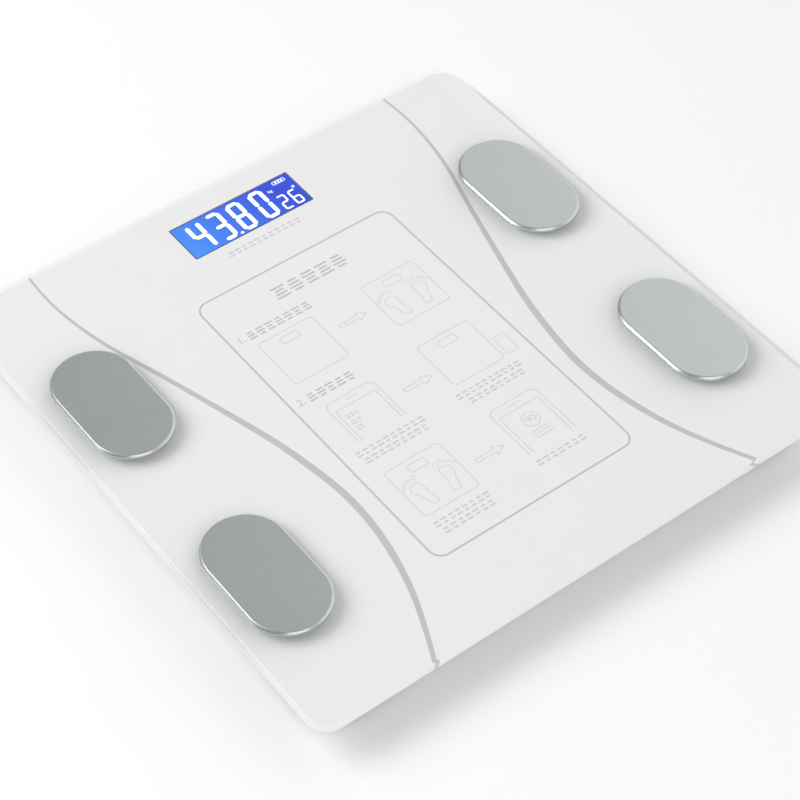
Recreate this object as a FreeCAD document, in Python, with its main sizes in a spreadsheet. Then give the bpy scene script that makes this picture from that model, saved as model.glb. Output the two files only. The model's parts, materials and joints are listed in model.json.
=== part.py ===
import FreeCAD, Part
import math
import os
import re

import Sketcher
from FreeCAD import Placement, Rotation, Vector

# A digital bathroom scale: a square tempered-glass platform with four steel electrode pads,
# glued to a tapered base shell that holds the display, the main board, three AAA cells and
# four load cells, each with its own foot.
#
# Frame: origin on the floor under the middle of the platform, +Z up, +Y towards the display,
# +X along the user's right. Lengths are millimetres.

# ---------------------------------------------------------------- driving dimensions
DIMENSIONS = {
    # glass platform, printed film and adhesive frame
    "platform_side": 260,
    "platform_corner": 9.5,
    "platform_bevel": 0.6,
    "glass_thickness": 5,
    "ink_thickness": 0.05,
    "film_thickness": 0.25,
    "film_inset": 0.4,
    "gasket_thickness": 0.7,
    "gasket_width": 4,
    "gasket_inset": 0.6,
    "post_gasket_radius": 3.6,
    # base shell
    "floor_gap": 3,
    "shell_height": 13,
    "shell_top_side": 251,
    "shell_bottom_side": 231,
    "shell_top_corner": 9,
    "shell_bottom_corner": 15,
    "shell_wall": 2.2,
    "shell_floor": 2,
    "shell_edge_round": 0.8,
    "rib_spacing": 80,
    "rib_thickness": 1.6,
    "rib_height": 4,
    "rib_front": 108,
    "rib_rear": 10,
    "cross_rib_y": 55,
    "post_radius": 4,
    # feet and the turrets that hold them
    "foot_x": 101,
    "foot_y": 98.5,
    "foot_pad_side": 41.6,
    "foot_pad_corner": 12.5,
    "foot_pad_thickness": 2.2,
    "foot_pad_round": 0.5,
    "tread_outer_radius": 14,
    "tread_inner_radius": 12,
    "tread_depth": 0.6,
    "cup_side": 38.4,
    "cup_corner": 11.6,
    "cup_wall": 1.6,
    "cup_height": 3.8,
    "cup_boss_radius": 4.6,
    "turret_clearance": 0.4,
    "turret_wall": 1.4,
    "turret_roof": 2.6,
    "ledge_length": 26,
    "ledge_width": 5,
    "ledge_y": 12.5,
    "lead_slot_width": 4,
    "lead_slot_height": 3,
    "lead_slot_level": 10.2,
    # load cells
    "cell_level": 8.2,
    "cell_plate_side": 32,
    "cell_plate_corner": 2,
    "cell_plate_thickness": 2.4,
    "tongue_width": 12,
    "tongue_tip_x": 11,
    "tongue_root_x": 10,
    "cell_slot": 2,
    "cell_hole_radius": 2.2,
    "gauge_length": 5,
    "gauge_width": 5,
    "gauge_height": 1.8,
    "retainer_thickness": 1.4,
    "retainer_gap": 0.1,
    "retainer_opening": 25,
    "foot_screw_radius": 1.9,
    "foot_head_radius": 3.6,
    "foot_head_height": 2,
    "foot_head_recess": 0.2,
    "foot_nut_radius": 4,
    "foot_nut_height": 2,
    # electrode pads
    "electrode_x": 104.6,
    "electrode_rear_y": 46.7,
    "electrode_front_y": -60.2,
    "electrode_width": 35.6,
    "electrode_length": 62.6,
    "electrode_thickness": 1.7,
    "electrode_bevel": 0.8,
    "seal_thickness": 0.3,
    "seal_inset": 1,
    "stud_pitch": 24,
    "stud_radius": 1.5,
    "stud_length": 9.4,
    "stud_clearance": 1,
    "washer_radius": 3.4,
    "washer_thickness": 0.8,
    "electrode_nut_radius": 3.1,
    "electrode_nut_height": 2.4,
    "barrel_reach": 10,
    "barrel_width": 2.4,
    "barrel_height": 1.4,
    # display
    "display_y": 107,
    "window_width": 60.6,
    "window_depth": 20.5,
    "lcd_width": 64,
    "lcd_depth": 23.6,
    "lcd_sheet": 1.1,
    "lcd_ledge": 1.2,
    "backlight_width": 63.4,
    "backlight_depth": 20.6,
    "backlight_thickness": 2.4,
    "lcd_frame_wall": 1,
    "lcd_frame_gap": 0.1,
    "lcd_frame_height": 4.6,
    "strip_width": 60,
    "strip_depth": 2,
    # main board and what is on it
    "board_level": 10.4,
    "board_thickness": 1.6,
    "board_width": 82,
    "board_front_y": 76,
    "board_rear_y": 117.5,
    "board_hole_x": 37,
    "board_front_hole_y": 80,
    "board_rear_hole_y": 111,
    "board_hole_radius": 1.2,
    "boss_radius": 2.6,
    "pilot_radius": 0.9,
    "pilot_depth": 4.6,
    "board_screw_radius": 0.9,
    "board_screw_length": 5.6,
    "board_head_radius": 1.9,
    "board_head_height": 1.2,
    "header_width": 11,
    "header_depth": 5.6,
    "header_height": 3.6,
    "header_x": 27,
    "side_header_y": 90,
    "side_header_width": 5.4,
    "battery_header_width": 7,
    "chip_y": 88.5,
    "chip_height": 1.4,
    "controller_side": 9,
    "controller_x": -9,
    "converter_x": 5,
    "converter_width": 5,
    "converter_depth": 6.4,
    "capacitor_x": -19.5,
    "capacitor_pitch": 2.4,
    "capacitor_length": 2.4,
    "capacitor_width": 1.3,
    "capacitor_height": 0.8,
    "left_can_x": -28,
    "right_can_x": 12.6,
    "can_radius": 2.4,
    "can_height": 3,
    "radio_x": 25,
    "radio_board_width": 14,
    "radio_board_depth": 10,
    "radio_board_thickness": 0.8,
    "radio_can_side": 8,
    "radio_can_height": 1.4,
    "radio_can_inset": 1,
    # unit button and its switch
    "unit_button_y": 92,
    "button_radius": 4.5,
    "button_clearance": 0.4,
    "button_recess": 0.2,
    "button_flange_radius": 5.7,
    "button_flange_level": 5.3,
    "button_flange_height": 0.9,
    "button_stem_radius": 2.2,
    "button_round": 0.5,
    "switch_side": 6.2,
    "switch_height": 3,
    "plunger_radius": 1.7,
    "plunger_level": 6.6,
    "plunger_length": 2.4,
    "plunger_fit": 0.05,
    "switch_bore_depth": 2.6,
    # battery bay, door and cells
    "bay_y": 30,
    "bay_width": 53,
    "bay_depth": 36,
    "bay_wall": 1.4,
    "bay_roof": 0.7,
    "door_gap": 0.3,
    "door_thickness": 1.5,
    "door_corner": 1.2,
    "hook_x": 23.7,
    "hook_width": 4.4,
    "hook_neck": 1.6,
    "hook_inset": 0.4,
    "hook_level": 5.3,
    "hook_thickness": 1,
    "hook_reach": 3.75,
    "hook_notch_width": 5.2,
    "hook_notch_height": 3.4,
    "latch_width": 10,
    "latch_thickness": 0.8,
    "latch_inset": 0.9,
    "latch_height": 2.7,
    "latch_nose": 0.45,
    "latch_nose_height": 1,
    "latch_nose_width": 6,
    "fingernail_width": 14,
    "fingernail_depth": 5.5,
    "fingernail_cut": 1,
    "battery_pitch": 11.3,
    "battery_radius": 5.25,
    "battery_body_length": 43.5,
    "battery_nub_radius": 1.9,
    "battery_nub_length": 1,
    "battery_axis_z": 9.9,
    "contact_thickness": 0.4,
    "contact_height": 9.2,
    "contact_level": 5.3,
    "contact_width": 9,
    "dimple_radius": 2.6,
    "dimple_length": 1.2,
    "tail_length": 3.4,
    "tail_width": 3,
    "tail_thickness": 1,
    "tail_level": 11.9,
    "tail_slot_width": 4,
    "tail_slot_height": 2,
    "spring_wire_radius": 0.3,
    "spring_wide_radius": 3.3,
    "spring_growth": 0,
    "spring_length": 5.8,
    "spring_turns": 3.5,
    # leads
    "cell_lead_diameter": 1.6,
    "electrode_lead_diameter": 1.2,
    "battery_lead_diameter": 1.4,
}

# Heights used by several pieces, from the floor up.
SHELL_INSIDE = "(floor_gap + shell_floor)"
SHELL_TOP = "(floor_gap + shell_height)"
FILM_BOTTOM = "(floor_gap + shell_height + gasket_thickness)"
GLASS_BOTTOM = f"({FILM_BOTTOM} + film_thickness + ink_thickness)"
GLASS_TOP = f"({GLASS_BOTTOM} + glass_thickness)"
BOARD_TOP = "(board_level + board_thickness)"
LCD_BOTTOM = f"({BOARD_TOP} + backlight_thickness)"
CELL_TOP = "(cell_level + cell_plate_thickness)"
TURRET_SIDE = "(cup_side + 2 * turret_clearance)"
TURRET_CEILING = f"({SHELL_TOP} - turret_roof)"
BAY_REAR = "(bay_y + bay_depth / 2)"
BAY_FRONT = "(bay_y - bay_depth / 2)"
BAY_END = "(bay_width / 2)"

# Signs of the four corners of the platform, seen from above with the display at the rear.
CORNERS = {
    "front_left": (-1, -1),
    "front_right": (1, -1),
    "rear_left": (-1, 1),
    "rear_right": (1, 1),
}
SIDES = {"left": -1, "right": 1}
ENDS = ("front", "rear")
TOUCH = 1e-4

doc = FreeCAD.newDocument("BathroomScale")
sheet = doc.addObject("Spreadsheet::Sheet", "Dimensions")
for row, (alias, size) in enumerate(DIMENSIONS.items(), 1):
    sheet.set(f"A{row}", alias)
    sheet.set(f"B{row}", str(size))
    sheet.setAlias(f"B{row}", alias)
reading = doc.addObject("App::FeaturePython", "Reading")
reading.addProperty("App::PropertyFloat", "Value")
doc.recompute()
subparts = []


# ---------------------------------------------------------------- helpers
def sized(expression):
    """The expression with each sheet alias spelled in full."""
    return re.sub(r"[a-z_]+", lambda word: f"Dimensions.{word.group()}", str(expression))


def number(expression):
    """The value that an expression has now."""
    reading.setExpression("Value", sized(expression))
    reading.recompute()
    return reading.Value


def bind(item, **expressions):
    """Bind an object's properties to the sheet."""
    for name, expression in expressions.items():
        item.setExpression(name, sized(expression))


def bind_position(item, x=0, y=0, z=0):
    """Bind the base point of an object's placement."""
    for axis, expression in zip("xyz", (x, y, z)):
        item.setExpression(f"Placement.Base.{axis}", sized(expression))


def keep(item, label):
    """Name a finished sub-part and put it on the list of files."""
    item.Label = label
    subparts.append(item)
    return item


def new_body(name):
    """An empty body."""
    return doc.addObject("PartDesign::Body", name)


def sketch_on(body, height=0, plane="XY_Plane"):
    """A sketch on one of the body's own planes, raised to a height."""
    sketch = body.newObject("Sketcher::SketchObject", f"{body.Name}_sketch")
    origin_plane = next(item for item in body.Origin.OriginFeatures if item.Role == plane)
    sketch.AttachmentSupport = (origin_plane, [""])
    sketch.MapMode = "FlatFace"
    sketch.setExpression("AttachmentOffset.Base.z", sized(height))
    return sketch


def dimension(sketch, kind, *geometry, value):
    """A driving constraint bound to the sheet."""
    index = sketch.addConstraint(Sketcher.Constraint(kind, *geometry, number(value)))
    sketch.setExpression(f"Constraints[{index}]", sized(value))


def draw_circle(sketch, x, y, radius):
    """A circle at a point."""
    centre = Vector(number(x), number(y), 0)
    circle = sketch.addGeometry(Part.Circle(centre, Vector(0, 0, 1), number(radius)))
    dimension(sketch, "Radius", circle, value=radius)
    dimension(sketch, "DistanceX", -1, 1, circle, 3, value=x)
    dimension(sketch, "DistanceY", -1, 1, circle, 3, value=y)


def draw_rectangle(sketch, x, y, width, depth):
    """A rectangle centred on a point."""
    half_width, half_depth = number(width) / 2, number(depth) / 2
    corners = [
        Vector(number(x) + sign_x * half_width, number(y) + sign_y * half_depth, 0)
        for sign_x, sign_y in ((-1, -1), (1, -1), (1, 1), (-1, 1))
    ]
    lines = [
        sketch.addGeometry(Part.LineSegment(start, end))
        for start, end in zip(corners, corners[1:] + corners[:1])
    ]
    for line, following in zip(lines, lines[1:] + lines[:1]):
        sketch.addConstraint(Sketcher.Constraint("Coincident", line, 2, following, 1))
    for line, direction in zip(lines, ("Horizontal", "Vertical") * 2):
        sketch.addConstraint(Sketcher.Constraint(direction, line))
    dimension(sketch, "DistanceX", -1, 1, lines[0], 1, value=f"({x}) - ({width}) / 2")
    dimension(sketch, "DistanceX", -1, 1, lines[1], 1, value=f"({x}) + ({width}) / 2")
    dimension(sketch, "DistanceY", -1, 1, lines[0], 1, value=f"({y}) - ({depth}) / 2")
    dimension(sketch, "DistanceY", -1, 1, lines[2], 1, value=f"({y}) + ({depth}) / 2")


def draw_rounded(sketch, x, y, width, depth, corner):
    """A rectangle with round corners, centred on a point."""
    radius = number(corner)
    reach_x, reach_y = number(width) / 2 - radius, number(depth) / 2 - radius
    centre = Vector(number(x), number(y), 0)
    arcs = []
    for turn, (sign_x, sign_y) in enumerate(((1, -1), (1, 1), (-1, 1), (-1, -1))):
        middle = centre + Vector(sign_x * reach_x, sign_y * reach_y, 0)
        circle = Part.Circle(middle, Vector(0, 0, 1), radius)
        start = (turn - 1) * math.pi / 2
        arcs.append(Part.ArcOfCircle(circle, start, start + math.pi / 2))
    lines = [
        sketch.addGeometry(Part.LineSegment(before.EndPoint, after.StartPoint))
        for before, after in zip(arcs[-1:] + arcs[:-1], arcs)
    ]
    arcs = [sketch.addGeometry(arc) for arc in arcs]
    for index, (line, arc) in enumerate(zip(lines, arcs)):
        following = lines[(index + 1) % 4]
        sketch.addConstraint(Sketcher.Constraint("Tangent", line, 2, arc, 1))
        sketch.addConstraint(Sketcher.Constraint("Tangent", arc, 2, following, 1))
        sketch.addConstraint(Sketcher.Constraint(("Horizontal", "Vertical")[index % 2], line))
    for arc in arcs[1:]:
        sketch.addConstraint(Sketcher.Constraint("Equal", arcs[0], arc))
    dimension(sketch, "Radius", arcs[0], value=corner)
    dimension(sketch, "DistanceX", -1, 1, lines[3], 1, value=f"({x}) - ({width}) / 2")
    dimension(sketch, "DistanceX", -1, 1, lines[1], 1, value=f"({x}) + ({width}) / 2")
    dimension(sketch, "DistanceY", -1, 1, lines[0], 1, value=f"({y}) - ({depth}) / 2")
    dimension(sketch, "DistanceY", -1, 1, lines[2], 1, value=f"({y}) + ({depth}) / 2")


def draw_stadium(sketch, x, y, width, length):
    """A slot outline with round ends, long along Y."""
    radius = number(width) / 2
    reach = number(length) / 2 - radius
    arcs = []
    for sign, start in ((1, 0), (-1, math.pi)):
        middle = Vector(number(x), number(y) + sign * reach, 0)
        circle = Part.Circle(middle, Vector(0, 0, 1), radius)
        arcs.append(Part.ArcOfCircle(circle, start, start + math.pi))
    left = sketch.addGeometry(Part.LineSegment(arcs[0].EndPoint, arcs[1].StartPoint))
    right = sketch.addGeometry(Part.LineSegment(arcs[1].EndPoint, arcs[0].StartPoint))
    rear, front = [sketch.addGeometry(arc) for arc in arcs]
    for first, second in ((right, rear), (rear, left), (left, front), (front, right)):
        sketch.addConstraint(Sketcher.Constraint("Tangent", first, 2, second, 1))
    sketch.addConstraint(Sketcher.Constraint("Vertical", left))
    sketch.addConstraint(Sketcher.Constraint("Equal", rear, front))
    dimension(sketch, "Radius", rear, value=f"({width}) / 2")
    dimension(sketch, "DistanceX", -1, 1, rear, 3, value=x)
    dimension(sketch, "DistanceY", -1, 1, rear, 3, value=f"({y}) + ({length}) / 2 - ({width}) / 2")
    dimension(sketch, "DistanceY", -1, 1, front, 3, value=f"({y}) - ({length}) / 2 + ({width}) / 2")


def pad(body, sketch, length, down=False):
    """Raise a sketch into the body."""
    feature = body.newObject("PartDesign::Pad", f"{body.Name}_pad")
    feature.Profile = sketch
    feature.Reversed = down
    bind(feature, Length=length)
    doc.recompute()
    return feature


def pocket(body, sketch, length):
    """Cut a sketch upwards out of the body."""
    solid = body.Shape.Volume
    feature = body.newObject("PartDesign::Pocket", f"{body.Name}_pocket")
    feature.Profile = sketch
    feature.Reversed = True
    bind(feature, Length=length)
    doc.recompute()
    if body.Shape.Volume > solid - TOUCH:
        raise RuntimeError(f"{feature.Name} cuts nothing")
    return feature


def outline_edges(feature, height):
    """Names of the edges around the flat faces at a height."""
    level = number(height)
    outlines = [
        face.OuterWire
        for face in feature.Shape.Faces
        if abs(face.BoundBox.ZMin - level) < TOUCH and abs(face.BoundBox.ZMax - level) < TOUCH
    ]
    return [
        f"Edge{index}"
        for index, edge in enumerate(feature.Shape.Edges, 1)
        if any(edge.isSame(other) for outline in outlines for other in outline.Edges)
    ]


def bevel(body, heights, size):
    """Chamfer the outline at each height."""
    base = body.Tip
    feature = body.newObject("PartDesign::Chamfer", f"{body.Name}_bevel")
    feature.Base = (base, [name for height in heights for name in outline_edges(base, height)])
    bind(feature, Size=size)
    doc.recompute()


def round_over(body, height, radius):
    """Fillet the outline at a height."""
    base = body.Tip
    feature = body.newObject("PartDesign::Fillet", f"{body.Name}_round")
    feature.Base = (base, outline_edges(base, height))
    bind(feature, Radius=radius)
    doc.recompute()


def box(name, x, y, bottom, width, depth, height):
    """A block centred on x and y, standing on a level."""
    block = doc.addObject("Part::Box", name)
    bind(block, Length=width, Width=depth, Height=height)
    bind_position(block, f"({x}) - ({width}) / 2", f"({y}) - ({depth}) / 2", bottom)
    return block


def rod(name, x, y, bottom, radius, height):
    """An upright cylinder."""
    cylinder = doc.addObject("Part::Cylinder", name)
    bind(cylinder, Radius=radius, Height=height)
    bind_position(cylinder, x, y, bottom)
    return cylinder


def lying_rod(name, x, y, z, radius, length):
    """A cylinder that runs along +X from a point."""
    cylinder = doc.addObject("Part::Cylinder", name)
    cylinder.Placement = Placement(Vector(), Rotation(Vector(0, 1, 0), 90))
    bind(cylinder, Radius=radius, Height=length)
    bind_position(cylinder, x, y, z)
    return cylinder


def hexagon(name, x, y, bottom, radius, height):
    """An upright hexagonal prism."""
    prism = doc.addObject("Part::Prism", name)
    prism.Polygon = 6
    bind(prism, Circumradius=radius, Height=height)
    bind_position(prism, x, y, bottom)
    return prism


def fused(name, *pieces):
    """One solid made of touching pieces."""
    union = doc.addObject("Part::MultiFuse", name)
    union.Shapes = list(pieces)
    return union


def drilled(name, solid, *tools):
    """A solid with each tool cut out of it."""
    for index, tool in enumerate(tools):
        cut = doc.addObject("Part::Cut", f"{name}_{index}")
        cut.Base = solid
        cut.Tool = tool
        solid = cut
    return solid


def group(label, pieces):
    """Separate solids kept as one sub-part."""
    compound = doc.addObject("Part::Compound", label)
    compound.Links = pieces
    return keep(compound, label)


def corner_point(corner, x, y):
    """Expressions for one of four mirrored points."""
    sign_x, sign_y = CORNERS[corner]
    return f"{sign_x} * ({x})", f"{sign_y} * ({y})"


def electrode_point(corner):
    """Expressions for the middle of an electrode pad."""
    end, side = corner.split("_")
    return f"{SIDES[side]} * electrode_x", f"electrode_{end}_y"


def stud_points():
    """Each electrode stud: its corner, which end of the pad it is on, and its place."""
    for corner in CORNERS:
        x, y = electrode_point(corner)
        for end in (-1, 1):
            yield corner, end, x, f"{y} + {end} * stud_pitch / 2"


# ---------------------------------------------------------------- platform
def glass_platform():
    """Tempered glass with ground edges and a hole for each electrode stud."""
    body = new_body("glass")
    sketch = sketch_on(body, GLASS_BOTTOM)
    draw_rounded(sketch, 0, 0, "platform_side", "platform_side", "platform_corner")
    for _, _, x, y in stud_points():
        draw_circle(sketch, x, y, "stud_radius + stud_clearance")
    pad(body, sketch, "glass_thickness")
    bevel(body, (GLASS_BOTTOM, GLASS_TOP), "platform_bevel")
    keep(body, "glass_platform")


def print_film():
    """Printed film under the glass, with the display window."""
    body = new_body("film")
    sketch = sketch_on(body, FILM_BOTTOM)
    side = "platform_side - 2 * film_inset"
    draw_rounded(sketch, 0, 0, side, side, "platform_corner - film_inset")
    draw_rectangle(sketch, 0, "display_y", "window_width", "window_depth")
    for _, _, x, y in stud_points():
        draw_circle(sketch, x, y, "stud_radius + stud_clearance")
    pad(body, sketch, "film_thickness")
    keep(body, "print_film")


def adhesive_gasket():
    """Foam tape that joins the shell's rim, turrets and posts to the film."""
    body = new_body("gasket")
    sketch = sketch_on(body, SHELL_TOP)
    outside = "shell_top_side - 2 * gasket_inset"
    inside = f"{outside} - 2 * gasket_width"
    draw_rounded(sketch, 0, 0, outside, outside, "shell_top_corner - gasket_inset")
    draw_rounded(sketch, 0, 0, inside, inside, "shell_top_corner - gasket_width")
    for corner in CORNERS:
        draw_circle(sketch, *corner_point(corner, "foot_x - gasket_width", "foot_y - gasket_width"),
                    "cup_boss_radius + gasket_width")
    for side in SIDES.values():
        draw_circle(sketch, f"{side} * rib_spacing / 2", "-cross_rib_y", "post_gasket_radius")
    pad(body, sketch, "gasket_thickness")
    keep(body, "adhesive_gasket")


# ---------------------------------------------------------------- base shell
def shell_tray(body):
    """Tapered tray with a level floor and an open top."""
    outer_bottom = sketch_on(body, "floor_gap")
    draw_rounded(outer_bottom, 0, 0, "shell_bottom_side", "shell_bottom_side", "shell_bottom_corner")
    outer_top = sketch_on(body, SHELL_TOP)
    draw_rounded(outer_top, 0, 0, "shell_top_side", "shell_top_side", "shell_top_corner")
    outside = body.newObject("PartDesign::AdditiveLoft", "shell_outside")
    outside.Profile = outer_bottom
    outside.Sections = [outer_top]
    doc.recompute()

    turrets = sketch_on(body, "floor_gap")
    side = f"{TURRET_SIDE} + 2 * turret_wall"
    for corner in CORNERS:
        draw_rounded(turrets, *corner_point(corner, "foot_x", "foot_y"), side, side,
                     "cup_corner + turret_clearance + turret_wall")
    pad(body, turrets, "shell_height")
    round_over(body, "floor_gap", "shell_edge_round")

    slope = "(shell_top_side - shell_bottom_side) * shell_floor / shell_height"
    inner_bottom = sketch_on(body, SHELL_INSIDE)
    side = f"shell_bottom_side + {slope} - 2 * shell_wall"
    draw_rounded(inner_bottom, 0, 0, side, side, "shell_bottom_corner - shell_wall")
    inner_top = sketch_on(body, SHELL_TOP)
    side = "shell_top_side - 2 * shell_wall"
    draw_rounded(inner_top, 0, 0, side, side, "shell_top_corner - shell_wall")
    inside = body.newObject("PartDesign::SubtractiveLoft", "shell_inside")
    inside.Profile = inner_bottom
    inside.Sections = [inner_top]
    doc.recompute()


def shell_walls(body):
    """Turrets, battery box, ribs, glass posts and board bosses inside the tray."""
    turrets = sketch_on(body, "floor_gap")
    side = f"{TURRET_SIDE} + 2 * turret_wall"
    for corner in CORNERS:
        draw_rounded(turrets, *corner_point(corner, "foot_x", "foot_y"), side, side,
                     "cup_corner + turret_clearance + turret_wall")
    pad(body, turrets, "shell_height")

    bay = sketch_on(body, "floor_gap")
    draw_rectangle(bay, 0, "bay_y", "bay_width + 2 * bay_wall", "bay_depth + 2 * bay_wall")
    pad(body, bay, "shell_height")

    rib_length = "(rib_front + rib_rear)"
    for side in SIDES.values():
        rib = sketch_on(body, SHELL_INSIDE)
        draw_rectangle(rib, f"{side} * rib_spacing / 2", "(rib_rear - rib_front) / 2",
                       "rib_thickness", rib_length)
        pad(body, rib, "rib_height")
        post = sketch_on(body, SHELL_INSIDE)
        draw_circle(post, f"{side} * rib_spacing / 2", "-cross_rib_y", "post_radius")
        pad(body, post, "shell_height - shell_floor")
    cross_rib = sketch_on(body, SHELL_INSIDE)
    draw_rectangle(cross_rib, 0, "-cross_rib_y", "rib_spacing", "rib_thickness")
    pad(body, cross_rib, "rib_height")

    bosses = sketch_on(body, SHELL_INSIDE)
    for side in SIDES.values():
        for end in ENDS:
            draw_circle(bosses, f"{side} * board_hole_x", f"board_{end}_hole_y", "boss_radius")
    pad(body, bosses, f"board_level - {SHELL_INSIDE}")


def shell_openings(body):
    """Foot wells with ledges, battery bay, button hole and the leads' passages."""
    wells = sketch_on(body, "floor_gap")
    for corner in CORNERS:
        draw_rounded(wells, *corner_point(corner, "foot_x", "foot_y"), TURRET_SIDE, TURRET_SIDE,
                     "cup_corner + turret_clearance")
    pocket(body, wells, "shell_height - turret_roof")

    ledges = sketch_on(body, TURRET_CEILING)
    for corner in CORNERS:
        for side in SIDES.values():
            x, y = corner_point(corner, "foot_x", "foot_y")
            draw_rectangle(ledges, x, f"{y} + {side} * ledge_y", "ledge_length", "ledge_width")
    pad(body, ledges, f"{TURRET_CEILING} - {CELL_TOP}", down=True)

    lead_slots = sketch_on(body, "lead_slot_level")
    for corner in CORNERS:
        x, y = corner_point(corner, f"foot_x - {TURRET_SIDE} / 2", "foot_y")
        draw_rectangle(lead_slots, x, y, "3 * turret_wall", "lead_slot_width")
    pocket(body, lead_slots, "lead_slot_height")

    bay = sketch_on(body, "floor_gap")
    draw_rectangle(bay, 0, "bay_y", "bay_width", "bay_depth")
    pocket(body, bay, "shell_height - bay_roof")

    hook_notches = sketch_on(body, SHELL_INSIDE)
    for side in SIDES.values():
        draw_rectangle(hook_notches, f"{side} * hook_x", BAY_REAR, "hook_notch_width", "4 * bay_wall")
    pocket(body, hook_notches, "hook_notch_height")

    tail_slots = sketch_on(body, "tail_level + (tail_thickness - tail_slot_height) / 2")
    for side in SIDES.values():
        draw_rectangle(tail_slots, f"{side} * {BAY_END}", f"bay_y - {side} * battery_pitch",
                       "4 * bay_wall", "tail_slot_width")
    pocket(body, tail_slots, "tail_slot_height")

    fingernail = sketch_on(body, "floor_gap")
    draw_rectangle(fingernail, 0, f"{BAY_FRONT} - fingernail_depth / 2",
                   "fingernail_width", "fingernail_depth")
    pocket(body, fingernail, "fingernail_cut")

    button_hole = sketch_on(body, "floor_gap")
    draw_circle(button_hole, 0, "unit_button_y", "button_radius + button_clearance")
    pocket(body, button_hole, "shell_floor")

    pilots = sketch_on(body, "board_level - pilot_depth")
    for side in SIDES.values():
        for end in ENDS:
            draw_circle(pilots, f"{side} * board_hole_x", f"board_{end}_hole_y", "pilot_radius")
    pocket(body, pilots, "pilot_depth")


def base_shell():
    """Moulded base that carries everything under the glass."""
    body = new_body("shell")
    shell_tray(body)
    shell_walls(body)
    shell_openings(body)
    keep(body, "base_shell")


# ---------------------------------------------------------------- feet and load cells
def place_at_foot(item, corner):
    """Put an item made about the Z axis at a foot, with its +X side towards the middle."""
    if corner.endswith("right"):
        item.Placement = Placement(Vector(), Rotation(Vector(0, 0, 1), 180))
    bind_position(item, *corner_point(corner, "foot_x", "foot_y"))


def foot_pad(corner):
    """Rubber sole with a ring tread."""
    body = new_body(f"sole_{corner}")
    sole = sketch_on(body)
    draw_rounded(sole, 0, 0, "foot_pad_side", "foot_pad_side", "foot_pad_corner")
    pad(body, sole, "foot_pad_thickness")
    round_over(body, 0, "foot_pad_round")
    tread = sketch_on(body)
    draw_circle(tread, 0, 0, "tread_outer_radius")
    draw_circle(tread, 0, 0, "tread_inner_radius")
    pocket(body, tread, "tread_depth")
    place_at_foot(body, corner)
    keep(body, f"foot_pad_{corner}")


def foot_cup(corner):
    """Nylon cup on the sole, with a boss that meets the load cell's tongue."""
    body = new_body(f"cup_{corner}")
    outside = sketch_on(body, "foot_pad_thickness")
    draw_rounded(outside, 0, 0, "cup_side", "cup_side", "cup_corner")
    pad(body, outside, "cup_height")
    inside = sketch_on(body, "foot_pad_thickness + cup_wall")
    side = "cup_side - 2 * cup_wall"
    draw_rounded(inside, 0, 0, side, side, "cup_corner - cup_wall")
    pocket(body, inside, "cup_height - cup_wall")
    boss = sketch_on(body, "foot_pad_thickness")
    draw_circle(boss, 0, 0, "cup_boss_radius")
    pad(body, boss, "cell_level - foot_pad_thickness")
    screw_hole = sketch_on(body, "foot_pad_thickness")
    draw_circle(screw_hole, 0, 0, "foot_screw_radius")
    pocket(body, screw_hole, "cell_level - foot_pad_thickness")
    head_recess = sketch_on(body, "foot_pad_thickness")
    draw_circle(head_recess, 0, 0, "foot_head_radius")
    pocket(body, head_recess, "foot_head_recess + foot_head_height")
    place_at_foot(body, corner)
    keep(body, f"foot_cup_{corner}")


def foot_fastener(corner):
    """Screw and nut that hang the foot from the load cell's tongue."""
    x, y = corner_point(corner, "foot_x", "foot_y")
    head_level = "(foot_pad_thickness + foot_head_recess)"
    head = rod(f"foot_head_{corner}", x, y, head_level, "foot_head_radius", "foot_head_height")
    length = f"{CELL_TOP} + foot_nut_height - {head_level}"
    shank = rod(f"foot_shank_{corner}", x, y, head_level, "foot_screw_radius", length)
    nut = hexagon(f"foot_nut_{corner}", x, y, CELL_TOP, "foot_nut_radius", "foot_nut_height")
    keep(fused(f"foot_screw_{corner}", head, shank, nut), f"foot_fastener_{corner}")


def load_cell(corner):
    """Steel plate with a sprung tongue cut out of its middle."""
    body = new_body(f"cell_{corner}")
    plate = sketch_on(body, "cell_level")
    draw_rounded(plate, 0, 0, "cell_plate_side", "cell_plate_side", "cell_plate_corner")
    draw_circle(plate, 0, 0, "cell_hole_radius")
    pad(body, plate, "cell_plate_thickness")
    slot_length = "(tongue_tip_x + cell_slot + tongue_root_x)"
    for side in SIDES.values():
        side_slot = sketch_on(body, "cell_level")
        draw_rectangle(side_slot, f"tongue_root_x - {slot_length} / 2",
                       f"{side} * (tongue_width + cell_slot) / 2", slot_length, "cell_slot")
        pocket(body, side_slot, "cell_plate_thickness")
    tip_slot = sketch_on(body, "cell_level")
    draw_rectangle(tip_slot, "-tongue_tip_x - cell_slot / 2", 0, "cell_slot",
                   "tongue_width + 2 * cell_slot")
    pocket(body, tip_slot, "cell_plate_thickness")
    place_at_foot(body, corner)
    keep(body, f"load_cell_{corner}")


def strain_gauges():
    """Potted strain gauge at the root of each tongue."""
    blocks = []
    for corner in CORNERS:
        x, y = corner_point(corner, "foot_x - tongue_root_x + gauge_length / 2", "foot_y")
        blocks.append(box(f"gauge_{corner}", x, y, CELL_TOP, "gauge_length", "gauge_width",
                          "gauge_height"))
    group("strain_gauges", blocks)


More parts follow.
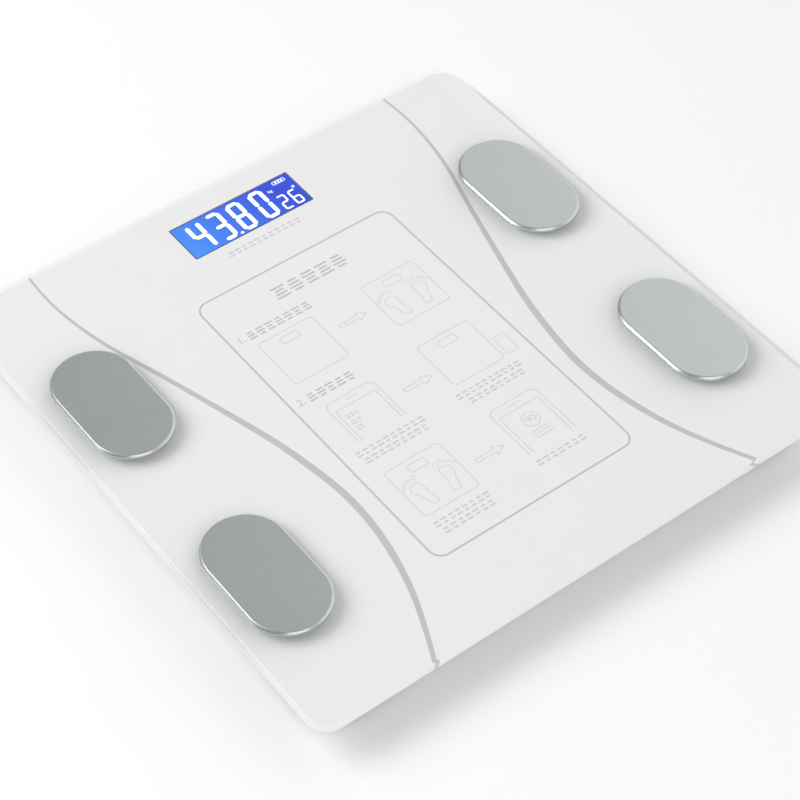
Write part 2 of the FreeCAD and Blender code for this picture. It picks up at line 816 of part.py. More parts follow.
def cell_retainers():
    """Frames pushed into the foot wells to hold the load cells against their ledges."""
    body = new_body("retainers")
    sketch = sketch_on(body, "cell_level - retainer_thickness")
    side = f"{TURRET_SIDE} - 2 * retainer_gap"
    for corner in CORNERS:
        x, y = corner_point(corner, "foot_x", "foot_y")
        draw_rounded(sketch, x, y, side, side, "cup_corner + turret_clearance - retainer_gap")
        draw_rounded(sketch, x, y, "retainer_opening", "retainer_opening", "cell_plate_corner")
    pad(body, sketch, "retainer_thickness")
    keep(body, "cell_retainers")


# ---------------------------------------------------------------- electrodes
def electrode_pad(corner):
    """Stainless stadium pad with a bevelled rim and two studs."""
    body = new_body(f"electrode_{corner}")
    level = f"{GLASS_TOP} + seal_thickness"
    face = sketch_on(body, level)
    draw_stadium(face, 0, 0, "electrode_width", "electrode_length")
    pad(body, face, "electrode_thickness")
    bevel(body, (f"{level} + electrode_thickness",), "electrode_bevel")
    studs = sketch_on(body, level)
    for end in (-1, 1):
        draw_circle(studs, 0, f"{end} * stud_pitch / 2", "stud_radius")
    pad(body, studs, "stud_length", down=True)
    bind_position(body, *electrode_point(corner))
    keep(body, f"electrode_pad_{corner}")


def electrode_seals():
    """Thin silicone gaskets between the pads and the glass."""
    body = new_body("seals")
    sketch = sketch_on(body, GLASS_TOP)
    for corner in CORNERS:
        draw_stadium(sketch, *electrode_point(corner), "electrode_width - 2 * seal_inset",
                     "electrode_length - 2 * seal_inset")
    for _, _, x, y in stud_points():
        draw_circle(sketch, x, y, "stud_radius")
    pad(body, sketch, "seal_thickness")
    keep(body, "electrode_seals")


def electrode_hardware():
    """Ring terminals, washers and nuts on the studs under the film."""
    level = f"{FILM_BOTTOM} - washer_thickness"
    terminals, washers, nuts = [], [], []
    for corner, end, x, y in stud_points():
        name = f"{corner}_{'rear' if end > 0 else 'front'}"
        ring = rod(f"ring_{name}", x, y, level, "washer_radius", "washer_thickness")
        carries_lead = (end > 0) == corner.startswith("front")
        inward = -CORNERS[corner][0]
        barrel_space = (f"{x} + {inward} * barrel_reach / 2", y, f"{FILM_BOTTOM} - barrel_height",
                        "barrel_reach", "barrel_width", "barrel_height")
        if carries_lead:
            barrel = box(f"barrel_{name}", *barrel_space)
            ring = fused(f"terminal_{name}", ring, barrel)
        hole = rod(f"ring_hole_{name}", x, y, f"{FILM_BOTTOM} - barrel_height", "stud_radius",
                   "barrel_height")
        (terminals if carries_lead else washers).append(drilled(f"drilled_{name}", ring, hole))
        nut_level = f"{FILM_BOTTOM} - barrel_height - electrode_nut_height"
        nut = hexagon(f"nut_{name}", x, y, nut_level, "electrode_nut_radius",
                      "barrel_height - washer_thickness + electrode_nut_height")
        bore = rod(f"nut_bore_{name}", x, y, nut_level, "stud_radius",
                   "barrel_height + electrode_nut_height")
        tools = [bore]
        if carries_lead:
            tools.append(box(f"nut_relief_{name}", *barrel_space))
        nuts.append(drilled(f"drilled_nut_{name}", nut, *tools))
    group("electrode_terminals", terminals)
    group("electrode_washers", washers)
    group("electrode_nuts", nuts)


# ---------------------------------------------------------------- display
def lcd_glass():
    """Two bonded glass sheets, the lower one with a contact ledge in front."""
    body = new_body("lcd")
    lower = sketch_on(body, LCD_BOTTOM)
    draw_rectangle(lower, 0, "display_y", "lcd_width", "lcd_depth")
    pad(body, lower, "lcd_sheet")
    upper = sketch_on(body, f"{LCD_BOTTOM} + lcd_sheet")
    draw_rectangle(upper, 0, "display_y + lcd_ledge / 2", "lcd_width", "lcd_depth - lcd_ledge")
    pad(body, upper, "lcd_sheet")
    keep(body, "lcd_glass")


def lcd_backlight():
    """Light guide behind the display."""
    rear = "(display_y + lcd_depth / 2)"
    keep(box("backlight", 0, f"{rear} - backlight_depth / 2", BOARD_TOP, "backlight_width",
             "backlight_depth", "backlight_thickness"), "lcd_backlight")


def lcd_frame():
    """Moulded frame that locates the display on the board."""
    body = new_body("frame")
    sketch = sketch_on(body, BOARD_TOP)
    gap = "2 * lcd_frame_gap"
    draw_rectangle(sketch, 0, "display_y", f"lcd_width + {gap}", f"lcd_depth + {gap}")
    draw_rectangle(sketch, 0, "display_y", f"lcd_width + {gap} + 2 * lcd_frame_wall",
                   f"lcd_depth + {gap} + 2 * lcd_frame_wall")
    pad(body, sketch, "lcd_frame_height")
    keep(body, "lcd_frame")


def connector_strip():
    """Elastomer strip that joins the display's ledge to the board."""
    front = "(display_y - lcd_depth / 2)"
    keep(box("strip", 0, f"{front} + strip_depth / 2", BOARD_TOP, "strip_width", "strip_depth",
             "backlight_thickness"), "connector_strip")


# ---------------------------------------------------------------- main board
def main_board():
    """Circuit board with four screw holes."""
    body = new_body("board")
    sketch = sketch_on(body, "board_level")
    draw_rounded(sketch, 0, "(board_front_y + board_rear_y) / 2", "board_width",
                 "board_rear_y - board_front_y", "board_hole_radius")
    for side in SIDES.values():
        for end in ENDS:
            draw_circle(sketch, f"{side} * board_hole_x", f"board_{end}_hole_y",
                        "board_hole_radius")
    pad(body, sketch, "board_thickness")
    keep(body, "main_board")


def board_screws():
    """Screws that hold the board to its bosses."""
    screws = []
    for side_name, side in SIDES.items():
        for end in ENDS:
            name = f"{end}_{side_name}"
            x, y = f"{side} * board_hole_x", f"board_{end}_hole_y"
            head = rod(f"board_head_{name}", x, y, BOARD_TOP, "board_head_radius",
                       "board_head_height")
            shank = rod(f"board_shank_{name}", x, y, f"{BOARD_TOP} - board_screw_length",
                        "board_screw_radius", "board_screw_length")
            screws.append(fused(f"board_screw_{name}", head, shank))
    group("board_screws", screws)


def board_headers():
    """Wire headers along the front and the sides of the board."""
    front_y = "board_front_y + header_depth / 2"
    headers = [box("battery_header", 0, front_y, BOARD_TOP, "battery_header_width",
                   "header_depth", "header_height")]
    for name, side in SIDES.items():
        headers.append(box(f"front_header_{name}", f"{side} * header_x", front_y, BOARD_TOP,
                           "header_width", "header_depth", "header_height"))
        headers.append(box(f"side_header_{name}",
                           f"{side} * (board_width / 2 - header_depth / 2)", "side_header_y",
                           BOARD_TOP, "header_depth", "side_header_width", "header_height"))
    group("board_headers", headers)


def board_chips():
    """Controller and weight converter."""
    controller = box("controller", "controller_x", "chip_y", BOARD_TOP, "controller_side",
                     "controller_side", "chip_height")
    converter = box("converter", "converter_x", "chip_y", BOARD_TOP, "converter_width",
                    "converter_depth", "chip_height")
    group("board_chips", [controller, converter])


def radio_module():
    """Small radio board with its shield can."""
    plate = box("radio_plate", "radio_x", "chip_y", BOARD_TOP, "radio_board_width",
                "radio_board_depth", "radio_board_thickness")
    can_x = "radio_x - (radio_board_width - radio_can_side) / 2 + radio_can_inset"
    can = box("radio_can", can_x, "chip_y", f"{BOARD_TOP} + radio_board_thickness",
              "radio_can_side", "radio_can_side", "radio_can_height")
    keep(fused("radio", plate, can), "radio_module")


def board_passives():
    """A row of chip capacitors and two can capacitors."""
    parts = []
    for index in (-1, 0, 1):
        parts.append(box(f"chip_capacitor_{index + 2}", "capacitor_x",
                         f"chip_y + {index} * capacitor_pitch", BOARD_TOP, "capacitor_length",
                         "capacitor_width", "capacitor_height"))
    for side in SIDES:
        parts.append(rod(f"can_capacitor_{side}", f"{side}_can_x", "chip_y", BOARD_TOP,
                         "can_radius", "can_height"))
    group("board_passives", parts)


# ---------------------------------------------------------------- unit button
def unit_button():
    """Button under the board that steps through the units."""
    body = new_body("button")
    cap = sketch_on(body, "floor_gap + button_recess")
    draw_circle(cap, 0, "unit_button_y", "button_radius")
    pad(body, cap, "button_flange_level - floor_gap - button_recess")
    round_over(body, "floor_gap + button_recess", "button_round")
    flange = sketch_on(body, "button_flange_level")
    draw_circle(flange, 0, "unit_button_y", "button_flange_radius")
    pad(body, flange, "button_flange_height")
    stem = sketch_on(body, "button_flange_level")
    draw_circle(stem, 0, "unit_button_y", "button_stem_radius")
    pad(body, stem, "plunger_level - button_flange_level")
    keep(body, "unit_button")


def unit_switch():
    """Push switch on the underside of the board, and its plunger."""
    body = new_body("switch")
    case = sketch_on(body, "board_level - switch_height")
    draw_rectangle(case, 0, "unit_button_y", "switch_side", "switch_side")
    pad(body, case, "switch_height")
    bore = sketch_on(body, "board_level - switch_height")
    draw_circle(bore, 0, "unit_button_y", "plunger_radius + plunger_fit")
    pocket(body, bore, "switch_bore_depth")
    keep(body, "unit_switch")
    keep(rod("plunger", 0, "unit_button_y", "plunger_level", "plunger_radius", "plunger_length"),
         "switch_plunger")


# ---------------------------------------------------------------- batteries
def battery_door():
    """Flush door with two hooks at its rear edge and a latch finger in front."""
    body = new_body("door")
    plate = sketch_on(body, "floor_gap")
    draw_rounded(plate, 0, "bay_y", "bay_width - 2 * door_gap", "bay_depth - 2 * door_gap",
                 "door_corner")
    pad(body, plate, "door_thickness")
    rear = f"({BAY_REAR} - hook_inset)"
    for side in SIDES.values():
        neck = sketch_on(body, "floor_gap")
        draw_rectangle(neck, f"{side} * hook_x", f"{rear} - hook_neck / 2", "hook_width", "hook_neck")
        pad(body, neck, "hook_level + hook_thickness - floor_gap")
        hook = sketch_on(body, "hook_level")
        draw_rectangle(hook, f"{side} * hook_x", f"{rear} - hook_neck + hook_reach / 2",
                       "hook_width", "hook_reach")
        pad(body, hook, "hook_thickness")
    latch_y = f"({BAY_FRONT} + latch_inset + latch_thickness / 2)"
    finger = sketch_on(body, "floor_gap")
    draw_rectangle(finger, 0, latch_y, "latch_width", "latch_thickness")
    pad(body, finger, "door_thickness + latch_height")
    nose = sketch_on(body, "floor_gap + door_thickness + latch_height / 2")
    draw_rectangle(nose, 0, f"{latch_y} - latch_nose / 2", "latch_nose_width",
                   "latch_thickness + latch_nose")
    pad(body, nose, "latch_nose_height")
    keep(body, "battery_door")


def battery_row():
    """Each cell's number, its place across the bay and the side its positive end faces."""
    for index in (-1, 0, 1):
        yield index, f"(bay_y + {index} * battery_pitch)", -1 if index == 0 else 1


def battery_cells():
    """Three AAA cells side by side, turned alternately."""
    cells = []
    for index, y, positive in battery_row():
        name = index + 2
        tip = f"({BAY_END} - contact_thickness - dimple_length)"
        nub = f"{tip} - battery_nub_length"
        can = f"{nub} - battery_body_length"
        starts = (can, nub) if positive > 0 else (f"-({nub})", f"-{tip}")
        body = lying_rod(f"cell_can_{name}", starts[0], y, "battery_axis_z", "battery_radius",
                         "battery_body_length")
        button = lying_rod(f"cell_nub_{name}", starts[1], y, "battery_axis_z",
                           "battery_nub_radius", "battery_nub_length")
        cells.append(fused(f"cell_{name}", body, button))
    group("battery_cells", cells)


def battery_contacts():
    """Plated strips at the bay's ends: two outputs with tails and two links."""
    strips = []
    plate_x = f"({BAY_END} - contact_thickness / 2)"
    dimple_start = f"({BAY_END} - contact_thickness - dimple_length)"
    for side_name, side in SIDES.items():
        output_y = f"(bay_y - {side} * battery_pitch)"
        tail = box(f"tail_{side_name}", f"{side} * ({BAY_END} + tail_length / 2 - contact_thickness)",
                   output_y, "tail_level", "tail_length", "tail_width", "tail_thickness")
        plate = box(f"output_plate_{side_name}", f"{side} * {plate_x}", output_y, "contact_level",
                    "contact_thickness", "contact_width", "contact_height")
        link = box(f"link_plate_{side_name}", f"{side} * {plate_x}",
                   f"bay_y + {side} * battery_pitch / 2", "contact_level", "contact_thickness",
                   "contact_width + battery_pitch", "contact_height")
        output, joined = [plate, tail], [link]
        for index, y, positive in battery_row():
            if positive != side:
                continue
            start = dimple_start if side > 0 else f"-{BAY_END}"
            dimple = lying_rod(f"dimple_{side_name}_{index + 1}", start, y, "battery_axis_z",
                               "dimple_radius", "dimple_length + contact_thickness")
            (output if index == -side else joined).append(dimple)
        strips.append(fused(f"output_{side_name}", *output))
        strips.append(fused(f"link_{side_name}", *joined) if len(joined) > 1 else link)
    group("battery_contacts", strips)


def battery_springs():
    """Coil springs behind the negative ends."""
    springs = []
    for index, y, positive in battery_row():
        body = new_body(f"spring_{index + 2}")
        wire = sketch_on(body, 0, "XZ_Plane")
        draw_circle(wire, "spring_wide_radius", "spring_wire_radius", "spring_wire_radius")
        coil = body.newObject("PartDesign::AdditiveHelix", f"{body.Name}_coil")
        coil.Profile = wire
        coil.ReferenceAxis = (wire, ["V_Axis"])
        coil.Mode = "height-turns-growth"
        bind(coil, Turns="spring_turns", Height="spring_length - 2 * spring_wire_radius",
             Growth="spring_growth")
        doc.recompute()
        body.Placement = Placement(Vector(), Rotation(Vector(0, 1, 0), 90 * positive))
        bind_position(body, f"{-positive} * ({BAY_END} - contact_thickness)", y, "battery_axis_z")
        springs.append(body)
    group("battery_springs", springs)


# ---------------------------------------------------------------- leads
def tube(name, points, diameter):
    """Round lead along straight runs joined by tangent arcs."""
    runs = [end - start for start, end in zip(points, points[1:])]
    edges, radii = [], []
    begin = points[0]
    for corner, before, after in zip(points[1:], runs, runs[1:]):
        turn = before.getAngle(after)
        reach = 0.45 * min(before.Length, after.Length)
        radius = reach / math.tan(turn / 2)
        arrive, leave = before / before.Length, after / after.Length
        inward = (leave - arrive) / (leave - arrive).Length
        start, end = corner - arrive * reach, corner + leave * reach
        middle = corner + inward * (radius / math.cos(turn / 2) - radius)
        edges.append(Part.LineSegment(begin, start).toShape())
        edges.append(Part.Arc(start, middle, end).toShape())
        radii.append(radius)
        begin = end
    edges.append(Part.LineSegment(begin, points[-1]).toShape())
    path = Part.Wire(edges)
    section = Part.Wire(Part.makeCircle(diameter / 2, points[0], runs[0]))
    solid = path.makePipeShell([section], True, False)
    expected = math.pi * diameter ** 2 / 4 * path.Length
    print(f"{name}: length {path.Length:.1f}, radii", " ".join(f"{radius:.1f}" for radius in radii),
          f"volume {solid.Volume / expected:.4f} of section times length")
    return solid


def mirrored(points):
    """The same route on the other side of the platform."""
    return [Vector(-point.x, point.y, point.z) for point in points]


def lead_node(label, routes, diameter_alias):
    """One sub-part of several leads."""
    diameter = number(diameter_alias)
    solids = [tube(f"{label}_{index}", route, diameter) for index, route in enumerate(routes, 1)]
    feature = doc.addObject("Part::Feature", label)
    feature.Shape = Part.Compound(solids)
    keep(feature, label)


def load_cell_leads():
    """From each strain gauge through its turret's wall to the board."""
    gauge_x = -number("foot_x - tongue_root_x")
    foot_y = number("foot_y")
    board_x, board_y = -number("board_width") / 2, number("board_front_y")
    side_header_y = number("side_header_y")
    front = [
        Vector(gauge_x, -foot_y, 11.6),
        Vector(-76, -foot_y, 11.6),
        Vector(-62, -84, 8),
        Vector(-56, -58, 6.7),
        Vector(-57, -20, 6.7),
        Vector(-55, 20, 6.7),
        Vector(-50, 46, 7.4),
        Vector(-38, 60, 9),
        Vector(-24.2, 67.5, 13.8),
        Vector(-24.2, board_y, 13.8),
    ]
    rear = [
        Vector(gauge_x, foot_y, 11.6),
        Vector(-77, foot_y, 11.6),
        Vector(-64, 94.5, 12.6),
        Vector(-52, side_header_y, 13.8),
        Vector(board_x, side_header_y, 13.8),
    ]
    routes = [front, mirrored(front), rear, mirrored(rear)]
    lead_node("load_cell_leads", routes, "cell_lead_diameter")


def electrode_leads():
    """From each ring terminal's barrel to the board."""
    barrel_x = -number("electrode_x - barrel_reach")
    front_y = number("electrode_front_y + stud_pitch / 2")
    rear_y = number("electrode_rear_y - stud_pitch / 2")
    board_y = number("board_front_y")
    front = [
        Vector(barrel_x, front_y, 16),
        Vector(-85.5, front_y, 16),
        Vector(-75, -39, 10),
        Vector(-65, -20, 6.8),
        Vector(-66, 12, 6.6),
        Vector(-61, 40, 7.4),
        Vector(-49, 56, 8.8),
        Vector(-37, 64, 11.6),
        Vector(-27.4, 68.5, 13.8),
        Vector(-27.4, board_y, 13.8),
    ]
    rear = [
        Vector(barrel_x, rear_y, 16),
        Vector(-85.5, rear_y, 16),
        Vector(-75, 44, 11.5),
        Vector(-62, 56.5, 9.8),
        Vector(-51, 64, 10.8),
        Vector(-40, 67.5, 12.8),
        Vector(-30.6, 69.5, 13.8),
        Vector(-30.6, board_y, 13.8),
    ]
    routes = [front, mirrored(front), rear, mirrored(rear)]
    lead_node("electrode_leads", routes, "electrode_lead_diameter")


def battery_leads():
    """From the two output contacts to the board."""
    tail_x = number(f"{BAY_END} + tail_length - contact_thickness")
    tail_z = number("tail_level + tail_thickness / 2")
    right_y = number("bay_y - battery_pitch")
    left_y = number("bay_y + battery_pitch")
    board_y = number("board_front_y")
    right = [
        Vector(tail_x, right_y, tail_z),
        Vector(36.5, right_y, tail_z),
        Vector(38.5, 28, 11),
        Vector(35, 42, 9.9),
        Vector(27, 54, 9.6),
        Vector(15, 62, 10.4),
        Vector(2, 68, 13.8),
        Vector(2, board_y, 13.8),
    ]
    left = [
        Vector(-tail_x, left_y, tail_z),
        Vector(-36.5, left_y, tail_z),
        Vector(-36, 50.5, 11.2),
        Vector(-27, 58.5, 10.2),
        Vector(-14.5, 62.5, 11),
        Vector(-2, 68, 13.8),
        Vector(-2, board_y, 13.8),
    ]
    lead_node("battery_leads", [left, right], "battery_lead_diameter")


# ---------------------------------------------------------------- the whole scale
glass_platform()
print_film()
adhesive_gasket()
base_shell()
for corner_name in CORNERS:
    electrode_pad(corner_name)
electrode_seals()
electrode_hardware()
for corner_name in CORNERS:
    foot_pad(corner_name)
    foot_cup(corner_name)
    foot_fastener(corner_name)
    load_cell(corner_name)
strain_gauges()
cell_retainers()
lcd_glass()
lcd_backlight()
lcd_frame()
connector_strip()
main_board()
board_screws()
board_headers()
board_chips()
radio_module()
board_passives()
unit_button()
unit_switch()
battery_door()
battery_cells()
battery_contacts()
battery_springs()
load_cell_leads()
electrode_leads()
battery_leads()
doc.recompute()

failed = [item.Name for item in doc.Objects if "Invalid" in item.State or "Error" in item.State]
failed += [item.Label for item in subparts if item.Shape.isNull() or not item.Shape.isValid()]
if failed:
    raise RuntimeError(f"not built: {failed}")
os.makedirs("parts", exist_ok=True)
for item in subparts:
    item.Shape.exportStep(f"parts/{item.Label}.step")
print(f"{len(subparts)} sub-parts")
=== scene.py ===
"""The looks of a digital bathroom scale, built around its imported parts."""

import json
import logging
import math
from collections.abc import Callable, Iterator
from contextlib import contextmanager
from dataclasses import dataclass, field
from enum import Enum

import bmesh
import bpy
from mathutils import Matrix, Vector


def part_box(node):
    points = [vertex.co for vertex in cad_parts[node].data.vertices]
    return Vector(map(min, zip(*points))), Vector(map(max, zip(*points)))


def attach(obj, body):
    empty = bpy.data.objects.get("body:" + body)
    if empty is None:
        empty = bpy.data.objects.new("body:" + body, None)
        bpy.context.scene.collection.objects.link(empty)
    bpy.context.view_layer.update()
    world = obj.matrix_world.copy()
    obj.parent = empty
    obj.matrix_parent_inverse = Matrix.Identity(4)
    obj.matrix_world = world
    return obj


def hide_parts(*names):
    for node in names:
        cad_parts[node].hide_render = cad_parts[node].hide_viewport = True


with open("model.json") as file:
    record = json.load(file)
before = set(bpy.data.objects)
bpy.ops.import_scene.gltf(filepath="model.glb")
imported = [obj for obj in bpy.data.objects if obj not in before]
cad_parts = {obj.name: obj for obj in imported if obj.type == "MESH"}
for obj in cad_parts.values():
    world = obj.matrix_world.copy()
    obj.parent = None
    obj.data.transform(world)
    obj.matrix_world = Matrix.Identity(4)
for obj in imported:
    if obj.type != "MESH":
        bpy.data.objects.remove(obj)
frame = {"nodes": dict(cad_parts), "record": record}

MM = 0.001
NUMERAL_SHARE = 0.7  # height of a numeral as a share of the font's size
Colour = tuple[float, float, float]
Point = tuple[float, float]
log = logging.getLogger("bathroom_scale")


# ---------------- modelling
class Element(Enum):
    """What edit mode selects."""

    VERTEX = "VERT"
    EDGE = "EDGE"
    FACE = "FACE"


def activate(piece: bpy.types.Object) -> None:
    """Select one object alone and make it active."""
    bpy.ops.object.select_all(action="DESELECT")
    piece.select_set(True)
    bpy.context.view_layer.objects.active = piece


@contextmanager
def editing(piece: bpy.types.Object, element: Element = Element.FACE) -> Iterator[None]:
    """Hold a piece in edit mode.

    Args:
        piece: The mesh to edit.
        element: What is selected.
    """
    activate(piece)
    bpy.ops.object.mode_set(mode="EDIT")
    bpy.ops.mesh.select_mode(type=element.value)
    yield
    bpy.ops.object.mode_set(mode="OBJECT")


def pick(piece: bpy.types.Object, element: Element, test: Callable[[Vector], bool]) -> None:
    """Select in edit mode the corners or edges whose middle is where the test says.

    Args:
        piece: The mesh in edit mode.
        element: Whether corners or edges are tested.
        test: Says whether a middle point is wanted.
    """
    bpy.ops.mesh.select_all(action="DESELECT")
    mesh = bmesh.from_edit_mesh(piece.data)
    for part in mesh.verts if element is Element.VERTEX else mesh.edges:
        if element is Element.VERTEX:
            middle = part.co
        else:
            middle = (part.verts[0].co + part.verts[1].co) / 2
        part.select_set(test(middle))
    mesh.select_flush_mode()
    bmesh.update_edit_mesh(piece.data)


def settle(piece: bpy.types.Object) -> bpy.types.Object:
    """Put a piece's place, turn and size into its mesh."""
    activate(piece)
    bpy.ops.object.transform_apply(location=True, rotation=True, scale=True)
    return piece


def plate(x: float, y: float, width: float, depth: float) -> bpy.types.Object:
    """Add a flat rectangle.

    Args:
        x: Middle across.
        y: Middle along.
        width: Size across.
        depth: Size along.

    Returns:
        The rectangle, at level zero.
    """
    bpy.ops.object.select_all(action="DESELECT")
    bpy.ops.mesh.primitive_plane_add(size=1, location=(x, y, 0))
    piece = bpy.context.object
    piece.scale = (width, depth, 1)
    return settle(piece)


def disc(x: float, y: float, radius: float, sides: int = 48) -> bpy.types.Object:
    """Add a flat disc.

    Args:
        x: Middle across.
        y: Middle along.
        radius: Its radius.
        sides: How many straight edges stand for the circle.

    Returns:
        The disc, at level zero.
    """
    bpy.ops.object.select_all(action="DESELECT")
    bpy.ops.mesh.primitive_circle_add(vertices=sides, radius=radius, fill_type="NGON",
                                      location=(x, y, 0), rotation=(0, 0, math.pi / sides))
    return settle(bpy.context.object)


def rod(x: float, y: float, bottom: float, top: float, radius: float) -> bpy.types.Object:
    """Add an upright cylinder.

    Args:
        x: Middle across.
        y: Middle along.
        bottom: Where it starts.
        top: Where it ends.
        radius: Its radius.

    Returns:
        The cylinder.
    """
    bpy.ops.object.select_all(action="DESELECT")
    bpy.ops.mesh.primitive_cylinder_add(vertices=32, radius=radius, depth=top - bottom,
                                        location=(x, y, (bottom + top) / 2))
    return settle(bpy.context.object)


def round_corners(piece: bpy.types.Object, radius: float, segments: int = 8) -> bpy.types.Object:
    """Round each corner of a flat shape."""
    with editing(piece, Element.VERTEX):
        bpy.ops.mesh.select_all(action="SELECT")
        bpy.ops.mesh.bevel(offset=radius, segments=segments, affect="VERTICES")
    return piece


def hollow(piece: bpy.types.Object, line: float) -> bpy.types.Object:
    """Leave only a line along the rim of a flat shape."""
    with editing(piece):
        bpy.ops.mesh.select_all(action="SELECT")
        bpy.ops.mesh.inset(thickness=line, depth=0)
        bpy.ops.mesh.delete(type="FACE")
    return piece


def cut_off(piece: bpy.types.Object, place: Vector, outward: Vector) -> bpy.types.Object:
    """Cut away what lies beyond a plane.

    Args:
        piece: The mesh to cut.
        place: A point on the plane.
        outward: Points towards what goes.

    Returns:
        The same piece.
    """
    with editing(piece):
        bpy.ops.mesh.select_all(action="SELECT")
        bpy.ops.mesh.bisect(plane_co=place, plane_no=outward, clear_outer=True)
    return piece


def drawn(points: list[Point], smooth: bool) -> bpy.types.Object:
    """Add a flat shape inside a closed outline.

    Args:
        points: Its corners, or the control points of a smooth outline.
        smooth: Whether the outline is a curve.

    Returns:
        The shape, at level zero.
    """
    curve = bpy.data.curves.new("outline", "CURVE")
    curve.dimensions = "2D"
    curve.fill_mode = "NONE"
    curve.resolution_u = 6
    spline = curve.splines.new("NURBS" if smooth else "POLY")
    spline.points.add(len(points) - 1)
    for knot, (x, y) in zip(spline.points, points):
        knot.co = (x, y, 0, 1)
    spline.use_cyclic_u = True
    if smooth:
        spline.order_u = 3
    piece = bpy.data.objects.new("outline", curve)
    bpy.context.scene.collection.objects.link(piece)
    activate(piece)
    bpy.ops.object.convert(target="MESH")
    piece = bpy.context.object
    with editing(piece, Element.VERTEX):
        bpy.ops.mesh.select_all(action="SELECT")
        bpy.ops.mesh.edge_face_add()
    return piece


def written(text: str, x: float, y: float, height: float) -> bpy.types.Object:
    """Add plain numerals or a unit as a flat shape centred on a point.

    Args:
        text: What to write.
        x: Middle across.
        y: Middle along.
        height: Height of a numeral.

    Returns:
        The shape, at level zero.
    """
    bpy.ops.object.select_all(action="DESELECT")
    bpy.ops.object.text_add()
    piece = bpy.context.object
    piece.data.body = text
    piece.data.size = height / NUMERAL_SHARE
    piece.data.align_x = "CENTER"
    piece.data.align_y = "CENTER"
    bpy.ops.object.convert(target="MESH")
    piece = bpy.context.object
    piece.location = (x, y, 0)
    return settle(piece)


def copied(piece: bpy.types.Object, place: Matrix) -> bpy.types.Object:
    """Copy a piece with a mesh of its own and put it somewhere else."""
    copy = piece.copy()
    copy.data = piece.data.copy()
    bpy.context.scene.collection.objects.link(copy)
    copy.data.transform(place)
    return copy


def joined(pieces: list[bpy.types.Object], name: str) -> bpy.types.Object:
    """Join several meshes into one piece."""
    activate(pieces[0])
    if len(pieces) > 1:
        for piece in pieces:
            piece.select_set(True)
        bpy.ops.object.join()
    whole = bpy.context.object
    whole.name = name
    whole.data.name = name
    return whole


def thickened(piece: bpy.types.Object, top: float, thickness: float) -> bpy.types.Object:
    """Turn flat shapes into thin solids.

    Args:
        piece: Flat shapes at level zero.
        top: Level of their upper face.
        thickness: How thick they get, downwards.

    Returns:
        The same piece, closed and facing outwards.
    """
    with editing(piece):
        bpy.ops.mesh.select_all(action="SELECT")
        bpy.ops.mesh.extrude_region_move(TRANSFORM_OT_translate={"value": (0, 0, -thickness)})
        bpy.ops.mesh.select_all(action="SELECT")
        bpy.ops.mesh.normals_make_consistent(inside=False)
    piece.data.transform(Matrix.Translation((0, 0, top)))
    return piece


def smooth_by_angle(piece: bpy.types.Object, degrees: float = 30) -> bpy.types.Object:
    """Shade a piece smooth except at its sharper edges."""
    activate(piece)
    bpy.ops.object.shade_smooth_by_angle(angle=math.radians(degrees))
    return piece


# ---------------- node tools
class Graph:
    """A node tree that is wired one node at a time."""

    def __init__(self, tree: bpy.types.NodeTree) -> None:
        """Start on a tree."""
        self.tree = tree

    def add(self, kind: str, inputs: dict | None = None, **settings) -> bpy.types.Node:
        """Add a shader node.

        Args:
            kind: The node's type without its common prefix.
            inputs: A value or an output socket for each named or numbered input.
            settings: The node's own options.

        Returns:
            The node.
        """
        node = self.tree.nodes.new("ShaderNode" + kind)
        for option, value in settings.items():
            setattr(node, option, value)
        for key, value in (inputs or {}).items():
            if isinstance(value, bpy.types.NodeSocket):
                self.tree.links.new(value, node.inputs[key])
            else:
                node.inputs[key].default_value = value
        return node

    def remap(self, value: bpy.types.NodeSocket, low: float, high: float,
              start: float = 0, end: float = 1) -> bpy.types.NodeSocket:
        """Spread a value from one range over another."""
        node = self.add("MapRange", {"Value": value, "From Min": start, "From Max": end,
                                     "To Min": low, "To Max": high})
        return node.outputs["Result"]

    def blend(self, factor: bpy.types.NodeSocket, first, second) -> bpy.types.NodeSocket:
        """Mix two colours by a factor."""
        node = self.add("Mix", data_type="RGBA")
        self.tree.links.new(factor, node.inputs["Factor"])
        for socket, value in ((node.inputs[6], first), (node.inputs[7], second)):
            if isinstance(value, bpy.types.NodeSocket):
                self.tree.links.new(value, socket)
            else:
                socket.default_value = (*value, 1)
        return node.outputs[2]

    def stretched(self, coords: bpy.types.NodeSocket, scale: tuple[float, float, float]
                  ) -> bpy.types.NodeSocket:
        """Coordinates stretched along each axis."""
        return self.add("Mapping", {"Vector": coords, "Scale": scale}).outputs["Vector"]

    def use(self, effect: "Effect", coords: bpy.types.NodeSocket, scale: float) -> bpy.types.Node:
        """Place a shared effect."""
        node = self.add("Group", node_tree=effect_group(effect))
        self.tree.links.new(coords, node.inputs["Vector"])
        node.inputs["Scale"].default_value = scale
        return node


class Effect(Enum):
    """Surface effects that several finishes share."""

    MOULDED = "moulded_grain"
    BLASTED = "blasted_grain"
    DRAWN = "drawn_grain"


